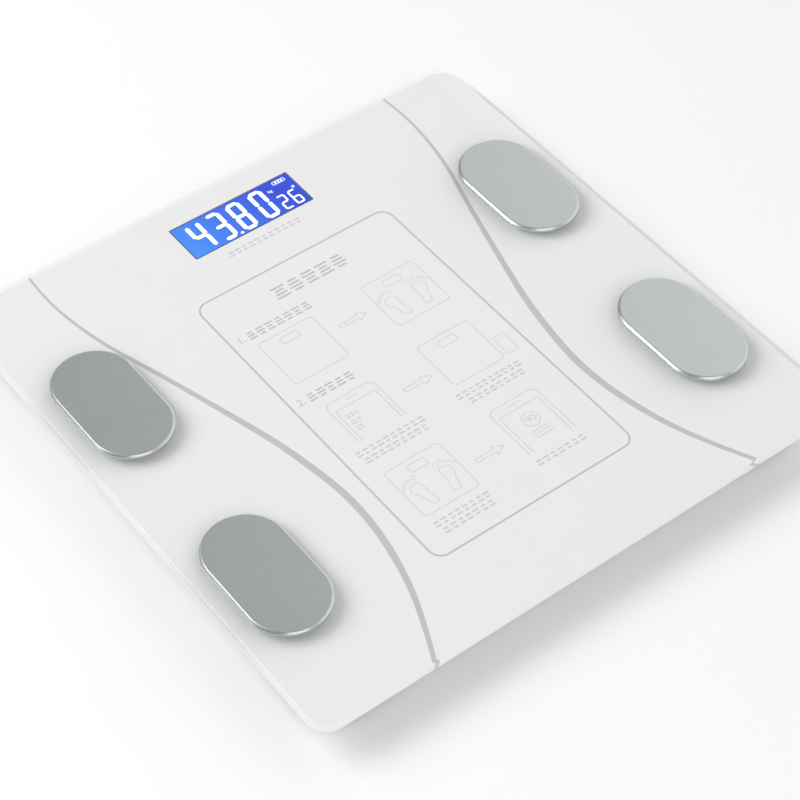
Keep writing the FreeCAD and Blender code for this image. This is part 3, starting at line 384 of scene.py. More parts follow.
def effect_group(effect: Effect) -> bpy.types.NodeTree:
    """Find or build a shared effect.

    Args:
        effect: Which one.

    Returns:
        A group with a broad mottle, a fine relief and smudges left by handling.
    """
    found = bpy.data.node_groups.get(effect.value)
    if found:
        return found
    tree = bpy.data.node_groups.new(effect.value, "ShaderNodeTree")
    tree.interface.new_socket("Vector", in_out="INPUT", socket_type="NodeSocketVector")
    scale = tree.interface.new_socket("Scale", in_out="INPUT", socket_type="NodeSocketFloat")
    scale.default_value = 1000
    for name in ("Mottle", "Relief", "Smudge"):
        tree.interface.new_socket(name, in_out="OUTPUT", socket_type="NodeSocketFloat")
    graph = Graph(tree)
    ends = tree.nodes.new("NodeGroupInput"), tree.nodes.new("NodeGroupOutput")
    coords, size = ends[0].outputs["Vector"], ends[0].outputs["Scale"]
    fine = graph.stretched(coords, (1, 0.04, 1)) if effect is Effect.DRAWN else coords
    if effect is Effect.MOULDED:
        cells = graph.add("TexVoronoi", {"Vector": fine, "Scale": size, "Randomness": 1},
                          feature="SMOOTH_F1")
        relief = cells.outputs["Distance"]
    else:
        relief = graph.add("TexNoise", {"Vector": fine, "Scale": size, "Detail": 4,
                                        "Roughness": 0.65}).outputs[0]
    broad = graph.add("Math", {0: size, 1: 0.04}, operation="MULTIPLY").outputs[0]
    mottle = graph.add("TexNoise", {"Vector": coords, "Scale": broad, "Detail": 3}).outputs[0]
    smear = graph.add("TexNoise", {"Vector": coords, "Scale": 38, "Detail": 5, "Roughness": 0.6,
                                   "Distortion": 1.4}).outputs[0]
    smudge = graph.remap(smear, 0, 1, 0.48, 0.72)
    for name, value in (("Mottle", mottle), ("Relief", relief), ("Smudge", smudge)):
        tree.links.new(value, ends[1].inputs[name])
    return tree


# ---------------- finishes
@dataclass(frozen=True)
class Finish:
    """A solid finish with a fine grain, a mottle and handling smudges.

    Attributes:
        name: Name of the material.
        colour: Its main colour.
        shade: The colour that its mottle drifts to.
        roughness: How dull it is.
        spread: How far smudges and mottle change that.
        grain: Size of the grain.
        relief: Depth of the grain.
        effect: Which grain it has.
        metal: How metallic it is.
        coat: Weight of a clear coat.
    """

    name: str
    colour: Colour
    shade: Colour
    roughness: float = 0.5
    spread: float = 0.08
    grain: float = 0.5 * MM
    relief: float = 0.01 * MM
    effect: Effect = Effect.MOULDED
    metal: float = 0.0
    coat: float = 0.0

    def material(self) -> bpy.types.Material:
        """Find or build the material."""
        title = f"{self.name}_finish"
        found = bpy.data.materials.get(title)
        if found:
            return found
        made = bpy.data.materials.new(title)
        made.use_nodes = True
        made.node_tree.nodes.clear()
        graph = Graph(made.node_tree)
        coords = graph.add("TexCoord").outputs["Object"]
        shader = graph.add("BsdfPrincipled", {"Metallic": self.metal, "Coat Weight": self.coat})
        surface = self.dress(graph, shader, coords)
        graph.add("OutputMaterial", {"Surface": surface})
        return made

    def dress(self, graph: Graph, shader: bpy.types.Node, coords: bpy.types.NodeSocket
              ) -> bpy.types.NodeSocket:
        """Wire the finish.

        Args:
            graph: The material's nodes.
            shader: Its main shader.
            coords: Coordinates on the piece.

        Returns:
            The shader socket that the surface shows.
        """
        effect = graph.use(self.effect, coords, 1 / self.grain)
        links = graph.tree.links
        links.new(self.paint(graph, effect, coords), shader.inputs["Base Color"])
        rough = graph.remap(effect.outputs["Smudge"], self.roughness - self.spread,
                            self.roughness + self.spread)
        links.new(rough, shader.inputs["Roughness"])
        bump = graph.add("Bump", {"Height": effect.outputs["Relief"], "Distance": self.relief})
        links.new(bump.outputs[0], shader.inputs["Normal"])
        return shader.outputs[0]

    def paint(self, graph: Graph, effect: bpy.types.Node, coords: bpy.types.NodeSocket
              ) -> bpy.types.NodeSocket:
        """The colour over the surface."""
        return graph.blend(effect.outputs["Mottle"], self.colour, self.shade)


@dataclass(frozen=True)
class ClearGlass(Finish):
    """Tempered glass, optically bonded to the print on its underside."""

    bend: float = 1.5

    def dress(self, graph: Graph, shader: bpy.types.Node, coords: bpy.types.NodeSocket
              ) -> bpy.types.NodeSocket:
        """Wire clear glass with faint smudges in its polish."""
        effect = graph.use(self.effect, coords, 1 / self.grain)
        graph.tree.links.new(self.paint(graph, effect, coords), shader.inputs["Base Color"])
        rough = graph.remap(effect.outputs["Smudge"], 0, self.roughness)
        graph.tree.links.new(rough, shader.inputs["Roughness"])
        shader.inputs["IOR"].default_value = self.bend
        shader.inputs["Transmission Weight"].default_value = 1
        path = graph.add("LightPath")
        soft = graph.add("Math", {0: path.outputs["Is Shadow Ray"],
                                  1: path.outputs["Is Diffuse Ray"]}, operation="MAXIMUM")
        straight = graph.add("Math", {0: soft.outputs[0],
                                      1: path.outputs["Is Transmission Ray"]}, operation="MAXIMUM")
        through = graph.add("BsdfTransparent", {"Color": (*self.colour, 1)})
        mixed = graph.add("MixShader", {0: straight.outputs[0], 1: shader.outputs[0],
                                        2: through.outputs[0]})
        return mixed.outputs[0]


@dataclass(frozen=True)
class LitFilm(Finish):
    """A back-lit surface that drifts from one colour to another.

    Attributes:
        glow: Strength of its own light.
        start: Where the first colour is full.
        end: Where the second colour is full.
    """

    glow: float = 1.0
    start: Point = (0, 0)
    end: Point = (1, 1)

    def paint(self, graph: Graph, effect: bpy.types.Node, coords: bpy.types.NodeSocket
              ) -> bpy.types.NodeSocket:
        """The colour drift across the window."""
        along = Vector(self.end) - Vector(self.start)
        place = graph.add("Mapping", {"Vector": coords, "Location": (-self.start[0], -self.start[1], 0)})
        way = along / along.length_squared
        share = graph.add("VectorMath", {0: place.outputs[0], 1: (way.x, way.y, 0)},
                          operation="DOT_PRODUCT")
        return graph.blend(graph.remap(share.outputs["Value"], 0, 1), self.colour, self.shade)

    def dress(self, graph: Graph, shader: bpy.types.Node, coords: bpy.types.NodeSocket
              ) -> bpy.types.NodeSocket:
        """Wire the finish with its own light."""
        surface = super().dress(graph, shader, coords)
        colour = shader.inputs["Base Color"].links[0].from_socket
        graph.tree.links.new(colour, shader.inputs["Emission Color"])
        shader.inputs["Emission Strength"].default_value = self.glow
        return surface


@dataclass(frozen=True)
class Laminate(Finish):
    """Circuit board with copper tracks under its mask.

    Attributes:
        track: Colour over a track.
        pitch: Distance between tracks.
    """

    track: Colour = (0.08, 0.42, 0.18)
    pitch: float = 2.5 * MM

    def paint(self, graph: Graph, effect: bpy.types.Node, coords: bpy.types.NodeSocket
              ) -> bpy.types.NodeSocket:
        """Tracks as the edges of a jittered grid."""
        cells = graph.add("TexVoronoi", {"Vector": coords, "Scale": 1 / self.pitch,
                                         "Randomness": 0.35}, feature="DISTANCE_TO_EDGE")
        mask = graph.remap(cells.outputs["Distance"], 1, 0, 0.05, 0.12)
        base = super().paint(graph, effect, coords)
        return graph.blend(mask, base, self.track)


@dataclass(frozen=True)
class CellJacket(Finish):
    """A battery's printed jacket with a copper-coloured end.

    Attributes:
        band: Colour of the end band.
        reach: Distance from the bay's middle where the band starts.
    """

    band: Colour = (0.75, 0.38, 0.12)
    reach: float = 13 * MM

    def paint(self, graph: Graph, effect: bpy.types.Node, coords: bpy.types.NodeSocket
              ) -> bpy.types.NodeSocket:
        """The band over the jacket's colour."""
        across = graph.add("SeparateXYZ", {"Vector": coords}).outputs["X"]
        mask = graph.remap(across, 0, 1, self.reach, self.reach + 0.2 * MM)
        return graph.blend(mask, super().paint(graph, effect, coords), self.band)


def finishes(window: tuple[Vector, Vector]) -> dict[str, Finish]:
    """The finish of each of the record's material slots.

    Args:
        window: Lowest and highest corner of the display's glass.

    Returns:
        Finishes by slot name.
    """
    low, high = window
    smooth, fine, coarse = 0.2 * MM, 0.35 * MM, 0.9 * MM
    return {
        "clear_glass": ClearGlass("clear_glass", (0.998, 0.999, 0.998), (0.995, 0.998, 0.996), 0.02),
        "white_print": Finish("white_print", (0.84, 0.84, 0.84), (0.825, 0.825, 0.83), 0.35, 0.05,
                              fine, 0.002 * MM),
        "foam_tape": Finish("foam_tape", (0.82, 0.82, 0.82), (0.66, 0.66, 0.66), 0.9, 0.05,
                            coarse, 0.12 * MM),
        "shell_plastic": Finish("shell_plastic", (0.79, 0.80, 0.81), (0.74, 0.75, 0.765), 0.48,
                                0.07, fine, 0.03 * MM),
        "electrode_steel": Finish("electrode_steel", (0.60, 0.645, 0.625), (0.56, 0.605, 0.585),
                                  0.29, 0.012, smooth, 0.0006 * MM, Effect.BLASTED, 1.0),
        "seal_rubber": Finish("seal_rubber", (0.09, 0.09, 0.10), (0.05, 0.05, 0.055), 0.7, 0.1,
                              fine, 0.02 * MM),
        "zinc_hardware": Finish("zinc_hardware", (0.72, 0.72, 0.69), (0.58, 0.57, 0.52), 0.3, 0.1,
                                smooth, 0.01 * MM, Effect.DRAWN, 1.0),
        "foot_rubber": Finish("foot_rubber", (0.12, 0.12, 0.13), (0.17, 0.17, 0.175), 0.78, 0.08,
                              fine, 0.04 * MM),
        "cup_nylon": Finish("cup_nylon", (0.20, 0.21, 0.22), (0.15, 0.155, 0.165), 0.55, 0.07,
                            fine, 0.02 * MM),
        "cell_steel": Finish("cell_steel", (0.56, 0.57, 0.58), (0.45, 0.46, 0.47), 0.34, 0.08,
                             smooth, 0.012 * MM, Effect.DRAWN, 1.0),
        "gauge_potting": Finish("gauge_potting", (0.86, 0.86, 0.82), (0.78, 0.78, 0.72), 0.3, 0.1,
                                coarse, 0.05 * MM),
        "display_glass": LitFilm("display_glass", (0.045, 0.25, 0.85), (0.004, 0.04, 0.60), 0.12,
                                 0.03, fine, 0.001 * MM, glow=0.22, start=(low.x, low.y),
                                 end=(low.x + 0.75 * (high.x - low.x), high.y)),
        "backlight_acrylic": Finish("backlight_acrylic", (0.72, 0.84, 1.0), (0.62, 0.76, 0.98),
                                    0.2, 0.05, coarse, 0.005 * MM, coat=0.5),
        "display_frame": Finish("display_frame", (0.03, 0.03, 0.035), (0.05, 0.05, 0.055), 0.5,
                                0.08, fine, 0.02 * MM),
        "connector_rubber": Finish("connector_rubber", (0.32, 0.2, 0.2), (0.1, 0.09, 0.09), 0.7,
                                   0.1, smooth, 0.02 * MM, Effect.DRAWN),
        "board_laminate": Laminate("board_laminate", (0.03, 0.25, 0.09), (0.02, 0.20, 0.08), 0.25,
                                   0.06, coarse, 0.004 * MM, coat=0.4),
        "chip_epoxy": Finish("chip_epoxy", (0.03, 0.03, 0.032), (0.055, 0.055, 0.055), 0.6, 0.08,
                             smooth, 0.01 * MM),
        "radio_can": Finish("radio_can", (0.70, 0.70, 0.69), (0.6, 0.6, 0.58), 0.3, 0.08, smooth,
                            0.006 * MM, Effect.DRAWN, 1.0),
        "header_nylon": Finish("header_nylon", (0.86, 0.84, 0.78), (0.78, 0.75, 0.67), 0.45, 0.08,
                               fine, 0.015 * MM),
        "button_plastic": Finish("button_plastic", (0.42, 0.44, 0.47), (0.36, 0.38, 0.41), 0.45,
                                 0.08, fine, 0.02 * MM),
        "switch_plastic": Finish("switch_plastic", (0.05, 0.05, 0.05), (0.08, 0.08, 0.08), 0.5,
                                 0.08, fine, 0.015 * MM),
        "battery_jacket": CellJacket("battery_jacket", (0.05, 0.16, 0.10), (0.04, 0.12, 0.08),
                                     0.22, 0.06, smooth, 0.004 * MM, coat=0.4),
        "nickel_contact": Finish("nickel_contact", (0.78, 0.76, 0.72), (0.66, 0.64, 0.58), 0.22,
                                 0.08, smooth, 0.008 * MM, Effect.DRAWN, 1.0),
        "lead_white": Finish("lead_white", (0.82, 0.82, 0.80), (0.72, 0.72, 0.69), 0.42, 0.08,
                             smooth, 0.008 * MM, Effect.DRAWN),
        "lead_blue": Finish("lead_blue", (0.05, 0.15, 0.45), (0.03, 0.10, 0.34), 0.42, 0.08,
                            smooth, 0.008 * MM, Effect.DRAWN),
        "lead_red": Finish("lead_red", (0.55, 0.04, 0.03), (0.42, 0.025, 0.02), 0.42, 0.08,
                           smooth, 0.008 * MM, Effect.DRAWN),
    }


def ink_finish(name: str, colour: Colour, drift: float) -> Finish:
    """A printed ink whose mottle drifts a little lighter."""
    return Finish(name, colour, tuple(part + drift for part in colour), 0.5, 0.05, 0.3 * MM,
                  0.002 * MM)


LINE_INK = ink_finish("line_ink", (0.50, 0.50, 0.50), 0.03)
PALE_INK = ink_finish("pale_ink", (0.60, 0.60, 0.60), 0.03)
DARK_INK = ink_finish("dark_ink", (0.02, 0.025, 0.08), 0.01)
LIT_SEGMENT = LitFilm("lit_segment", (0.93, 0.98, 1.0), (0.82, 0.93, 1.0), 0.4, 0.05, 0.3 * MM,
                      0.001 * MM, glow=0.5, start=(-0.03, 0.1), end=(0.03, 0.12))


def finished(piece: bpy.types.Object, finish: Finish, body: str) -> bpy.types.Object:
    """Dress a new piece and hand it to its body.

    Args:
        piece: The new piece, in place.
        finish: What it is dressed in.
        body: The body that it moves with.

    Returns:
        The same piece.
    """
    piece.data.materials.clear()
    piece.data.materials.append(finish.material())
    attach(piece, body)
    log.info("%s: %d faces on %s", piece.name, len(piece.data.polygons), body)
    return piece


# ---------------- platform
@dataclass
class GlassTop:
    """The tempered glass, with a polished edge and a hole for each electrode stud.

    Attributes:
        corner: Radius of its corners in plan.
        edge: Size of the polished edge.
        hole: Radius of a stud hole.
        stud_pitch: Distance between the two studs of a pad.
        tolerance: How near an edge is to a face to count as its rim.
    """

    corner: float = 9.5 * MM
    edge: float = 0.7 * MM
    hole: float = 2.5 * MM
    stud_pitch: float = 24 * MM
    tolerance: float = 0.01 * MM

    def build(self, pads: list[str]) -> bpy.types.Object:
        """Model the glass and put it in place of its plain solid.

        Args:
            pads: Nodes of the electrode pads, whose studs pass through it.

        Returns:
            The glass.
        """
        low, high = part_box("glass_platform")
        size, middle = high - low, (low + high) / 2
        glass = round_corners(plate(middle.x, middle.y, size.x, size.y), self.corner, 24)
        glass.name = "glass_top"
        with editing(glass):
            bpy.ops.mesh.select_all(action="SELECT")
            bpy.ops.mesh.extrude_region_move(TRANSFORM_OT_translate={"value": (0, 0, size.z)})
            bpy.ops.mesh.select_all(action="SELECT")
            bpy.ops.mesh.normals_make_consistent(inside=False)
        with editing(glass, Element.EDGE):
            pick(glass, Element.EDGE,
                 lambda spot: spot.z < self.tolerance or spot.z > size.z - self.tolerance)
            bpy.ops.mesh.bevel(offset=self.edge, segments=4)
        glass.data.transform(Matrix.Translation((0, 0, low.z)))
        drills = self.drills(pads, low.z - MM, high.z + MM)
        holes = glass.modifiers.new("stud_holes", "BOOLEAN")
        holes.operation = "DIFFERENCE"
        holes.object = drills
        activate(glass)
        bpy.ops.object.modifier_apply(modifier="stud_holes")
        bpy.data.objects.remove(drills)
        return smooth_by_angle(glass)

    def drills(self, pads: list[str], bottom: float, top: float) -> bpy.types.Object:
        """Model one cylinder through each stud's place.

        Args:
            pads: Nodes of the electrode pads.
            bottom: Where the cylinders start.
            top: Where they end.

        Returns:
            All cylinders as one piece.
        """
        cutters = []
        for node in pads:
            low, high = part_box(node)
            middle = (low + high) / 2
            for y in (middle.y - self.stud_pitch / 2, middle.y + self.stud_pitch / 2):
                cutters.append(rod(middle.x, y, bottom, top, self.hole))
        return joined(cutters, "drills")


@dataclass
class ElectrodePad:
    """A steel pad with its two studs.

    Attributes:
        wall: Height of its upright wall.
        chamfer: Size of the bright chamfer above the wall.
        lip: Width and rise of the soft lip inside the chamfer.
        stud_radius: Radius of a stud.
        stud_pitch: Distance between the studs.
        overlap: How far a stud reaches into the pad.
        sides: How many straight edges the outline has.
    """

    wall: float = 0.95 * MM
    chamfer: float = 0.6 * MM
    lip: tuple[float, float] = (0.4 * MM, 0.1 * MM)
    stud_radius: float = 1.5 * MM
    stud_pitch: float = 24 * MM
    overlap: float = 0.1 * MM
    sides: int = 96

    def build(self, node: str, seal_top: float) -> bpy.types.Object:
        """Model one pad at its node's place.

        Args:
            node: The pad's node.
            seal_top: Level that the pad sits on.

        Returns:
            The pad.
        """
        low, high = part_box(node)
        middle, radius = (low + high) / 2, (high.x - low.x) / 2
        half_straight = (high.y - low.y) / 2 - radius
        pad = disc(0, 0, radius, self.sides)
        pad.name = node.replace("electrode_pad", "steel_pad")
        with editing(pad, Element.VERTEX):
            for end in (-1, 1):
                pick(pad, Element.VERTEX, lambda spot: spot.y * end > 0)
                bpy.ops.transform.translate(value=(0, end * half_straight, 0))
        with editing(pad):
            bpy.ops.mesh.select_all(action="SELECT")
            bpy.ops.mesh.extrude_region_move(TRANSFORM_OT_translate={"value": (0, 0, self.wall)})
            bpy.ops.mesh.inset(thickness=self.chamfer, depth=self.chamfer)
            bpy.ops.mesh.inset(thickness=self.lip[0], depth=self.lip[1])
            bpy.ops.mesh.select_all(action="SELECT")
            bpy.ops.mesh.normals_make_consistent(inside=False)
        pad.data.transform(Matrix.Translation((middle.x, middle.y, seal_top)))
        studs = [rod(middle.x, y, low.z, seal_top + self.overlap, self.stud_radius)
                 for y in (middle.y - self.stud_pitch / 2, middle.y + self.stud_pitch / 2)]
        pad = joined([pad, *studs], pad.name)
        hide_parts(node)
        return smooth_by_angle(pad, 10)


# ---------------- print
@dataclass
class PrintedInk:
    """Ink shapes on the film, under the glass.

    Attributes:
        level: Top of the film.
        thickness: How thick the ink is.
        shapes: Flat shapes that wait to be printed.
    """

    level: float
    thickness: float = 0.02 * MM
    shapes: list[bpy.types.Object] = field(default_factory=list)

    def put(self, shape: bpy.types.Object) -> None:
        """Keep a flat shape for printing."""
        self.shapes.append(shape)

    def line_box(self, low: Point, high: Point, corner: float, line: float) -> None:
        """Keep the outline of a rounded rectangle.

        Args:
            low: Its lower left corner.
            high: Its upper right corner.
            corner: Radius of its corners.
            line: Width of the line.
        """
        box = plate((low[0] + high[0]) / 2, (low[1] + high[1]) / 2, high[0] - low[0], high[1] - low[1])
        self.put(hollow(round_corners(box, corner), line))

    def stroke(self, start: Point, end: Point, line: float) -> None:
        """Keep a straight stroke with rounded ends.

        Args:
            start: Where it starts.
            end: Where it ends.
            line: Its width.
        """
        way = Vector(end) - Vector(start)
        bar = round_corners(plate(0, 0, way.length, line), line * 0.49, 3)
        middle = (Vector(start) + Vector(end)) / 2
        turn = Matrix.Rotation(math.atan2(way.y, way.x), 4, "Z")
        bar.data.transform(Matrix.Translation((middle.x, middle.y, 0)) @ turn)
        self.put(bar)

    def blocks(self, start: Point, end_x: float, height: float, gap: float, strokes: int) -> None:
        """Keep a row of plain blocks that stands for a line of writing.

        Args:
            start: Lower left corner of the row.
            end_x: Where the row ends.
            height: Height of the row.
            gap: Share of a block's pitch that stays empty.
            strokes: How many bars make a block.
        """
        count = max(2, round((end_x - start[0]) / (height * (1 + gap))))
        pitch = (end_x - start[0]) / count
        bar = height / (2 * strokes - 1) if strokes > 1 else height * 0.55
        for index in range(count):
            for row in range(strokes):
                width = pitch * (1 - gap) * (1 - 0.35 * ((index * 2 + row) % 3) / 2)
                level = start[1] + (row * 2 + 0.5) * bar if strokes > 1 else start[1] + height / 2
                middle = start[0] + (index + 0.5) * pitch
                self.put(round_corners(plate(middle, level, width, bar), bar * 0.3, 2))

    def printed(self, name: str, finish: Finish) -> bpy.types.Object:
        """Print what was kept as one piece, and keep nothing."""
        piece = thickened(joined(self.shapes, name), self.level + self.thickness, self.thickness)
        self.shapes = []
        return finished(piece, finish, "platform")


@dataclass
class InstructionPanel:
    """Line drawings of how the scale is used, in a thin frame.

    Attributes:
        ink: Where the drawings are printed.
        shift: How far the print sits from the platform's middle.
        frame_line: Width of the frame's line.
        line: Width of the drawings' lines.
    """

    ink: PrintedInk
    shift: Point = (2.2 * MM, 0.5 * MM)
    frame_line: float = 0.85 * MM
    line: float = 0.36 * MM

    def at(self, x: float, y: float) -> Point:
        """A point of the panel, given in millimetres."""
        return x * MM + self.shift[0], y * MM + self.shift[1]

    def build(self) -> list[bpy.types.Object]:
        """Print the frame, the headings and the drawings."""
        ink = self.ink
        ink.line_box(self.at(-50, -92.8), self.at(50, 73.1), 6 * MM, self.frame_line)
        frame_piece = ink.printed("panel_frame", LINE_INK)
        ink.blocks(self.at(-19, 55.6), self.at(18.5, 0)[0], 7.0 * MM, 0.12, 4)
        for x, y, end in ((-41.5, 43.9, -9.2), (-41.5, 1.5, -18.2)):
            ink.blocks(self.at(x, y), self.at(end, 0)[0], 4.3 * MM, 0.15, 3)
        for numeral, y in (("1.", 46.0), ("2.", 3.6)):
            ink.put(written(numeral, *self.at(-44.4, y), 3.6 * MM))
        headings = ink.printed("panel_headings", LINE_INK)
        self.scale_icon(-27.0, 26.5, 27.6)
        self.foot_icon(25.9, 27.0, 27.6)
        self.scale_icon(23.4, -13.6, 26.4)
        self.foot_icon(-27.0, -59.4, 27.4)
        self.phone_icon(-26.6, -3.3, -26.1)
        self.phone_icon(23.4, -45.9, -72.4)
        self.reading_dial(23.6, -58.8)
        ink.line_box(self.at(38.6, -26.1), self.at(44.4, -14.9), 1.4 * MM, self.line * 0.8)
        for y in (27.9, -16.4, -62.9):
            self.arrow(-0.6, y)
        drawings = ink.printed("panel_drawings", PALE_INK)
        rows = ((-43.9, -33.8, -9.7), (-42.6, -38.2, -11.0), (6.5, -33.8, 39.7), (9.7, -38.2, 38.1),
                (-40.6, -79.9, -13.0), (-39.4, -84.2, -13.8), (10.4, -79.9, 35.6))
        for x, y, end in rows:
            ink.blocks(self.at(x, y), self.at(end, 0)[0], 2.9 * MM, 0.2, 2)
        for row, end in enumerate((-28.6, -29.6, -31.0)):
            ink.blocks(self.at(-34.9, -14.6 - 3.7 * row), self.at(end, 0)[0], 2.0 * MM, 0.2, 2)
        captions = ink.printed("panel_captions", PALE_INK)
        return [frame_piece, headings, drawings, captions]

    def scale_icon(self, x: float, y: float, side: float) -> None:
        """Draw a small scale with its display.

        Args:
            x: Its middle across the panel, in millimetres.
            y: Its middle along the panel.
            side: Its side.
        """
        half = side / 2
        self.ink.line_box(self.at(x - half, y - half), self.at(x + half, y + half), 2.2 * MM, self.line)
        self.ink.line_box(self.at(x - 4.4, y + half - 6.8), self.at(x + 4.4, y + half - 2.6), 0.9 * MM,
                          self.line)

    def foot_icon(self, x: float, y: float, side: float) -> None:
        """Draw a small scale with two footprints on it, placed as a plain one is."""
        self.scale_icon(x, y, side)
        sole = [(-2.3, 2.6), (-2.9, 4.6), (-1.6, 6.3), (1.0, 6.4), (2.9, 4.6), (2.8, 1.6), (1.7, -1.8),
                (1.9, -5.2), (1.3, -7.8), (-0.9, -8.4), (-2.0, -6.4), (-1.5, -3.0), (-2.0, 0.0)]
        toes = [(-2.6, 8.3, 1.1), (-0.4, 9.1, 0.85), (1.5, 8.7, 0.75), (3.1, 7.8, 0.7), (4.2, 6.5, 0.6)]
        for side_sign in (-1, 1):
            turn = Matrix.Rotation(math.radians(-12 * side_sign), 2)

            def spot(a: float, b: float) -> Point:
                """A point of one footprint on the panel."""
                turned = turn @ Vector((a * side_sign * 1.12, b * 0.92))
                return self.at(x + side_sign * 6.6 + turned.x, y - 3.2 + turned.y)

            outline = [spot(a, b) for a, b in sole]
            self.ink.put(hollow(drawn(outline[::side_sign], True), self.line * 0.9))
            for a, b, radius in toes:
                self.ink.put(hollow(disc(*spot(a, b), radius * MM, 16), self.line * 0.6))

    def arrow(self, x: float, y: float) -> None:
        """Draw an outlined arrow to the right."""
        outline = [(-7.1, -1.1), (2.2, -1.1), (2.2, -2.7), (7.1, 0), (2.2, 2.7), (2.2, 1.1), (-7.1, 1.1)]
        points = [self.at(x + a, y + b) for a, b in outline]
        self.ink.put(hollow(drawn(points, False), self.line))

    def phone_icon(self, x: float, top: float, bottom: float) -> None:
        """Draw the upper part of a phone, open at its foot.

        Args:
            x: Its middle across the panel, in millimetres.
            top: Where it starts.
            bottom: Where it is cut off.
        """
        half, rim, below = 12.1, 2.0, bottom - 12
        for inset, head in ((0, 0), (rim, 5.2)):
            box = plate(*self.at(x, (top - head + below) / 2), (half - inset) * 2 * MM,
                        (top - head - below) * MM)
            ring = hollow(round_corners(box, (3.4 if not inset else 0.6) * MM), self.line)
            self.ink.put(cut_off(ring, Vector((0, bottom * MM, 0)), Vector((0, -1, 0))))
        self.ink.stroke(self.at(x - 3.2, top - 2.6), self.at(x + 3.2, top - 2.6), self.line)

    def reading_dial(self, x: float, y: float) -> None:
        """Draw the round reading and three lines under it on the phone."""
        centre = self.at(x, y)
        self.ink.put(hollow(disc(*centre, 4.0 * MM), self.line))
        self.ink.put(written("90", *centre, 3.6 * MM))
        for row in range(3):
            level = y - 5.8 - 1.7 * row
            self.ink.stroke(self.at(x - 4.4, level), self.at(x + 4.4, level), self.line)


@dataclass
class Swooshes:
    """Two tapered lines that curve from the rear edge to the front edge.

    Attributes:
        ink: Where they are printed.
        shift: How far the print sits to the right of the platform's middle.
        lean: How much that changes along the platform.
        route: Distance across from the middle, place along and width, from rear to front.
    """

    ink: PrintedInk
    shift: float = 1.65 * MM
    lean: float = -0.0104
    route: tuple[tuple[float, float, float], ...] = (
        (88.0, 160, 0.9), (92.6, 138, 1.0), (94.0, 122, 1.1), (93.8, 105, 1.3), (89.6, 80, 1.6),
        (81.2, 54, 2.0), (71.4, 20, 2.5), (63.6, -8, 2.9), (59.0, -36, 3.1), (58.2, -50, 3.1),
        (59.2, -66, 3.0), (62.8, -85, 2.7), (68.8, -104, 2.3), (80.8, -130, 1.8), (97.0, -160, 1.6))

    def build(self, front: float, rear: float) -> bpy.types.Object:
        """Print both lines.

        Args:
            front: Where the print ends at the front.
            rear: Where it ends at the rear.

        Returns:
            The printed lines.
        """
        for side in (-1, 1):
            middles = [Vector((side * x * MM + self.shift + self.lean * y * MM, y * MM))
                       for x, y, _ in self.route]
            left, right = [], []
            for index, (middle, (_, _, width)) in enumerate(zip(middles, self.route)):
                before, after = middles[max(index - 1, 0)], middles[min(index + 1, len(middles) - 1)]
                across = (after - before).normalized().orthogonal() * width * MM / 2
                left.append(tuple(middle + across))
                right.append(tuple(middle - across))
            line = drawn(left + right[::-1], True)
            line = cut_off(line, Vector((0, front, 0)), Vector((0, -1, 0)))
            self.ink.put(cut_off(line, Vector((0, rear, 0)), Vector((0, 1, 0))))
        return self.ink.printed("swoosh_lines", LINE_INK)


